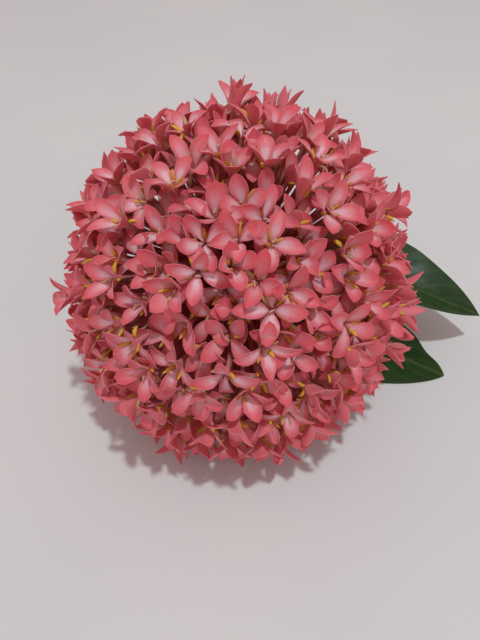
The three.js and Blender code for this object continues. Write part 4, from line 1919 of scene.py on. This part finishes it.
        notch = np.exp(-(((s - self.notch_at) / self.notch_length) ** 2)) * (v < 0)
        trim = 1.0 - self.notch * notch
        bent = np.sqrt(v**2 + self.fold_round) - math.sqrt(self.fold_round)
        rise = half * math.tan(math.radians(self.fold)) * bent
        q = self.side_veins(s, v, rng)
        line = np.exp(-(((q - np.round(q)) / self.vein_half) ** 2)) * blade
        ends = np.clip((np.abs(v) - self.vein_ends) / (1.0 - self.vein_ends), 0.0, 1.0)
        line = line * (1.0 - ends) * (np.abs(v) > self.vein_starts)
        puff = self.puff * (1.0 - np.cos(2 * math.pi * q)) * blade * (1.0 - v**2)
        rib = np.exp(-((v * half / self.rib_half) ** 2)) * blade
        rise = rise + puff - self.rib_sunk * rib + self.margin(s, v, half, rng) * blade
        middle = (
            curve.at(share)[:, None]
            + side[:, None] * (half * v * trim)[..., None]
            + up[:, None] * rise[..., None]
        )
        middle = settle(middle, self.rest, self.softness)

        stout = 2 * self.petiole_half
        thick = stout + (self.thickness - stout) * np.minimum(s / (2 * self.petiole_share), 1.0)
        edge = 1.0 - self.margin_thins * np.abs(v) ** 6
        fading = np.minimum((1.0 - s) / self.tip_fades, 1.0)
        depth = thick * edge * (0.5 + 0.5 * fading)
        depth = depth + self.rib_depth * rib * fading * (1.0 - blade * self.rib_thins)
        marks = {
            "along": np.broadcast_to(s, rise.shape)[None],
            "across": np.broadcast_to(v, rise.shape)[None, :, ::-1],
            "rib": rib[None, :, ::-1],
            "vein": line[None, :, ::-1],
        }
        surface = thin_shells(middle[None, :, ::-1], depth[None, :, ::-1], marks)
        surface.points[:, 2] = np.maximum(surface.points[:, 2], self.lowest)
        place_piece(self.name, surface, material, self.node, 60.0)


@dataclass
class Studio:
    """The photo's viewing angle, a light overhead, soft light all round and a plain pale floor."""

    eye: Point = (-16.2, -142.5, 181.1)
    pitch: float = 49.5  # degrees below the horizontal
    lens: float = 31.5
    sensor: float = 36.0
    clip: Span = (0.005, 30.0)  # metres
    key_from: Point = (0.10, -0.18, 1.0)
    key_distance: float = 1.3  # metres
    key_size: float = 0.07  # metres
    key_watts: float = 6.5
    key_colour: Colour = (0.84, 0.985, 1.0)
    sky: Colour = (1.0, 0.83, 0.82)
    sky_strength: float = 0.46
    floor_half: float = 4.0  # metres
    floor_rings: int = 23
    floor_sides: int = 48
    finish: FloorFinish = FloorFinish()

    def camera(self) -> None:
        """Creates the scene's camera."""
        data = bpy.data.cameras.new("camera")
        data.lens = self.lens
        data.sensor_width = self.sensor
        data.clip_start, data.clip_end = self.clip
        camera = bpy.data.objects.new("camera", data)
        camera.location = [x * METRES for x in self.eye]
        camera.rotation_euler = (math.radians(90.0 - self.pitch), 0.0, 0.0)
        bpy.context.scene.collection.objects.link(camera)
        bpy.context.scene.camera = camera

    def light(self) -> None:
        """Creates the key light and the soft surrounding light."""
        data = bpy.data.lights.new("key", "AREA")
        data.shape = "DISK"
        data.size = self.key_size
        data.energy = self.key_watts
        data.color = self.key_colour
        key = bpy.data.objects.new("key", data)
        way = unit(np.array(self.key_from))
        key.location = way * self.key_distance
        polar, turn = math.acos(way[2]), math.atan2(way[1], way[0])
        key.rotation_euler = (0.0, polar, turn)
        bpy.context.scene.collection.objects.link(key)
        world = bpy.data.worlds.new("room")
        world.use_nodes = True
        background = world.node_tree.nodes["Background"]
        background.inputs["Color"].default_value = (*self.sky, 1.0)
        background.inputs["Strength"].default_value = self.sky_strength
        bpy.context.scene.world = world
        bpy.context.scene.view_settings.view_transform = "Standard"

    def floor(self) -> None:
        """Creates the floor: a flat disc of evenly spaced rings around a fan of triangles."""
        n = self.floor_sides
        r = np.linspace(0.0, 1.0, self.floor_rings + 1)[1:, None] * self.floor_half
        turn = np.arange(n) / n * 2.0 * math.pi
        x, y = r * np.cos(turn), r * np.sin(turn)
        ring = np.stack([x, y, np.zeros_like(x)], axis=-1).reshape(-1, 3)
        points = np.concatenate([[[0.0, 0.0, 0.0]], ring])
        index = np.arange(len(ring)).reshape(self.floor_rings, n) + 1
        beside = np.roll(index, -1, axis=1)
        quads = np.stack([index[:-1], index[1:], beside[1:], beside[:-1]], axis=-1).reshape(-1, 4)
        fan = np.stack([np.zeros(n, dtype=int), index[0], beside[0]], axis=-1)
        mesh = bpy.data.meshes.new("floor")
        mesh.from_pydata(points.tolist(), [], quads.tolist() + fan.tolist())
        mesh.materials.append(self.finish.make())
        floor = bpy.data.objects.new("floor", mesh)
        bpy.context.scene.collection.objects.link(floor)


LEAVES = (
    Leaf(
        name="leaf_blade_right", node=Node.LEAF_RIGHT, pair=1, half=15.6, fold=26.0,
        route=((42, 36, -26), (69, 18.5, -26), (94.6, 9.6, -32)), face=(0.1, -0.05, 1.0),
        seed=3, pointed=0.9,
    ),
    Leaf(
        name="leaf_blade_front", node=Node.LEAF_FRONT, pair=0, half=20.0, fold=5.0,
        route=((31, 19, -35), (56, 5.5, -47.9), (80.5, -8.8, -48.2)), face=(0.0, 0.0, 1.0),
        seed=4, pointed=0.82, notch=0.22,
    ),
    Leaf(
        name="leaf_blade_back", node=Node.LEAF_BACK, pair=0, half=16.0, fold=18.0,
        route=((4, 51, -9), (3, 64, 10), (2.6, 70.5, 28)), face=(0.0, -1.0, 0.35), seed=5,
    ),
    Leaf(
        name="leaf_blade_left", node=Node.LEAF_LEFT, pair=1, half=18.0, fold=6.0,
        route=((-14, 46, -41), (-37, 42, -47.6), (-61, 35, -48)), face=(0.0, 0.0, 1.0), seed=6,
    ),
)


def main() -> None:
    """Builds the studio, then the head from its florets inwards, then the sprig."""
    logging.basicConfig(level=logging.INFO, format="%(name)s: %(message)s")
    studio = Studio()
    studio.camera()
    studio.light()
    studio.floor()

    dome = Dome()
    florets = dome.lay_out()
    Petals(florets).build()
    Tubes(florets, dome.centre).build()
    Anthers(florets).build()
    Styles(florets).build()

    stem = Stem(dome.centre)
    FlowerStalk(florets, dome.centre, stem.neck()).build()
    stem.build({leaf.pair: leaf.foot(stem)[1] for leaf in LEAVES})
    green = LeafFinish().make()
    for leaf in LEAVES:
        leaf.build(stem, green)


if __name__ == "__main__":
    main()
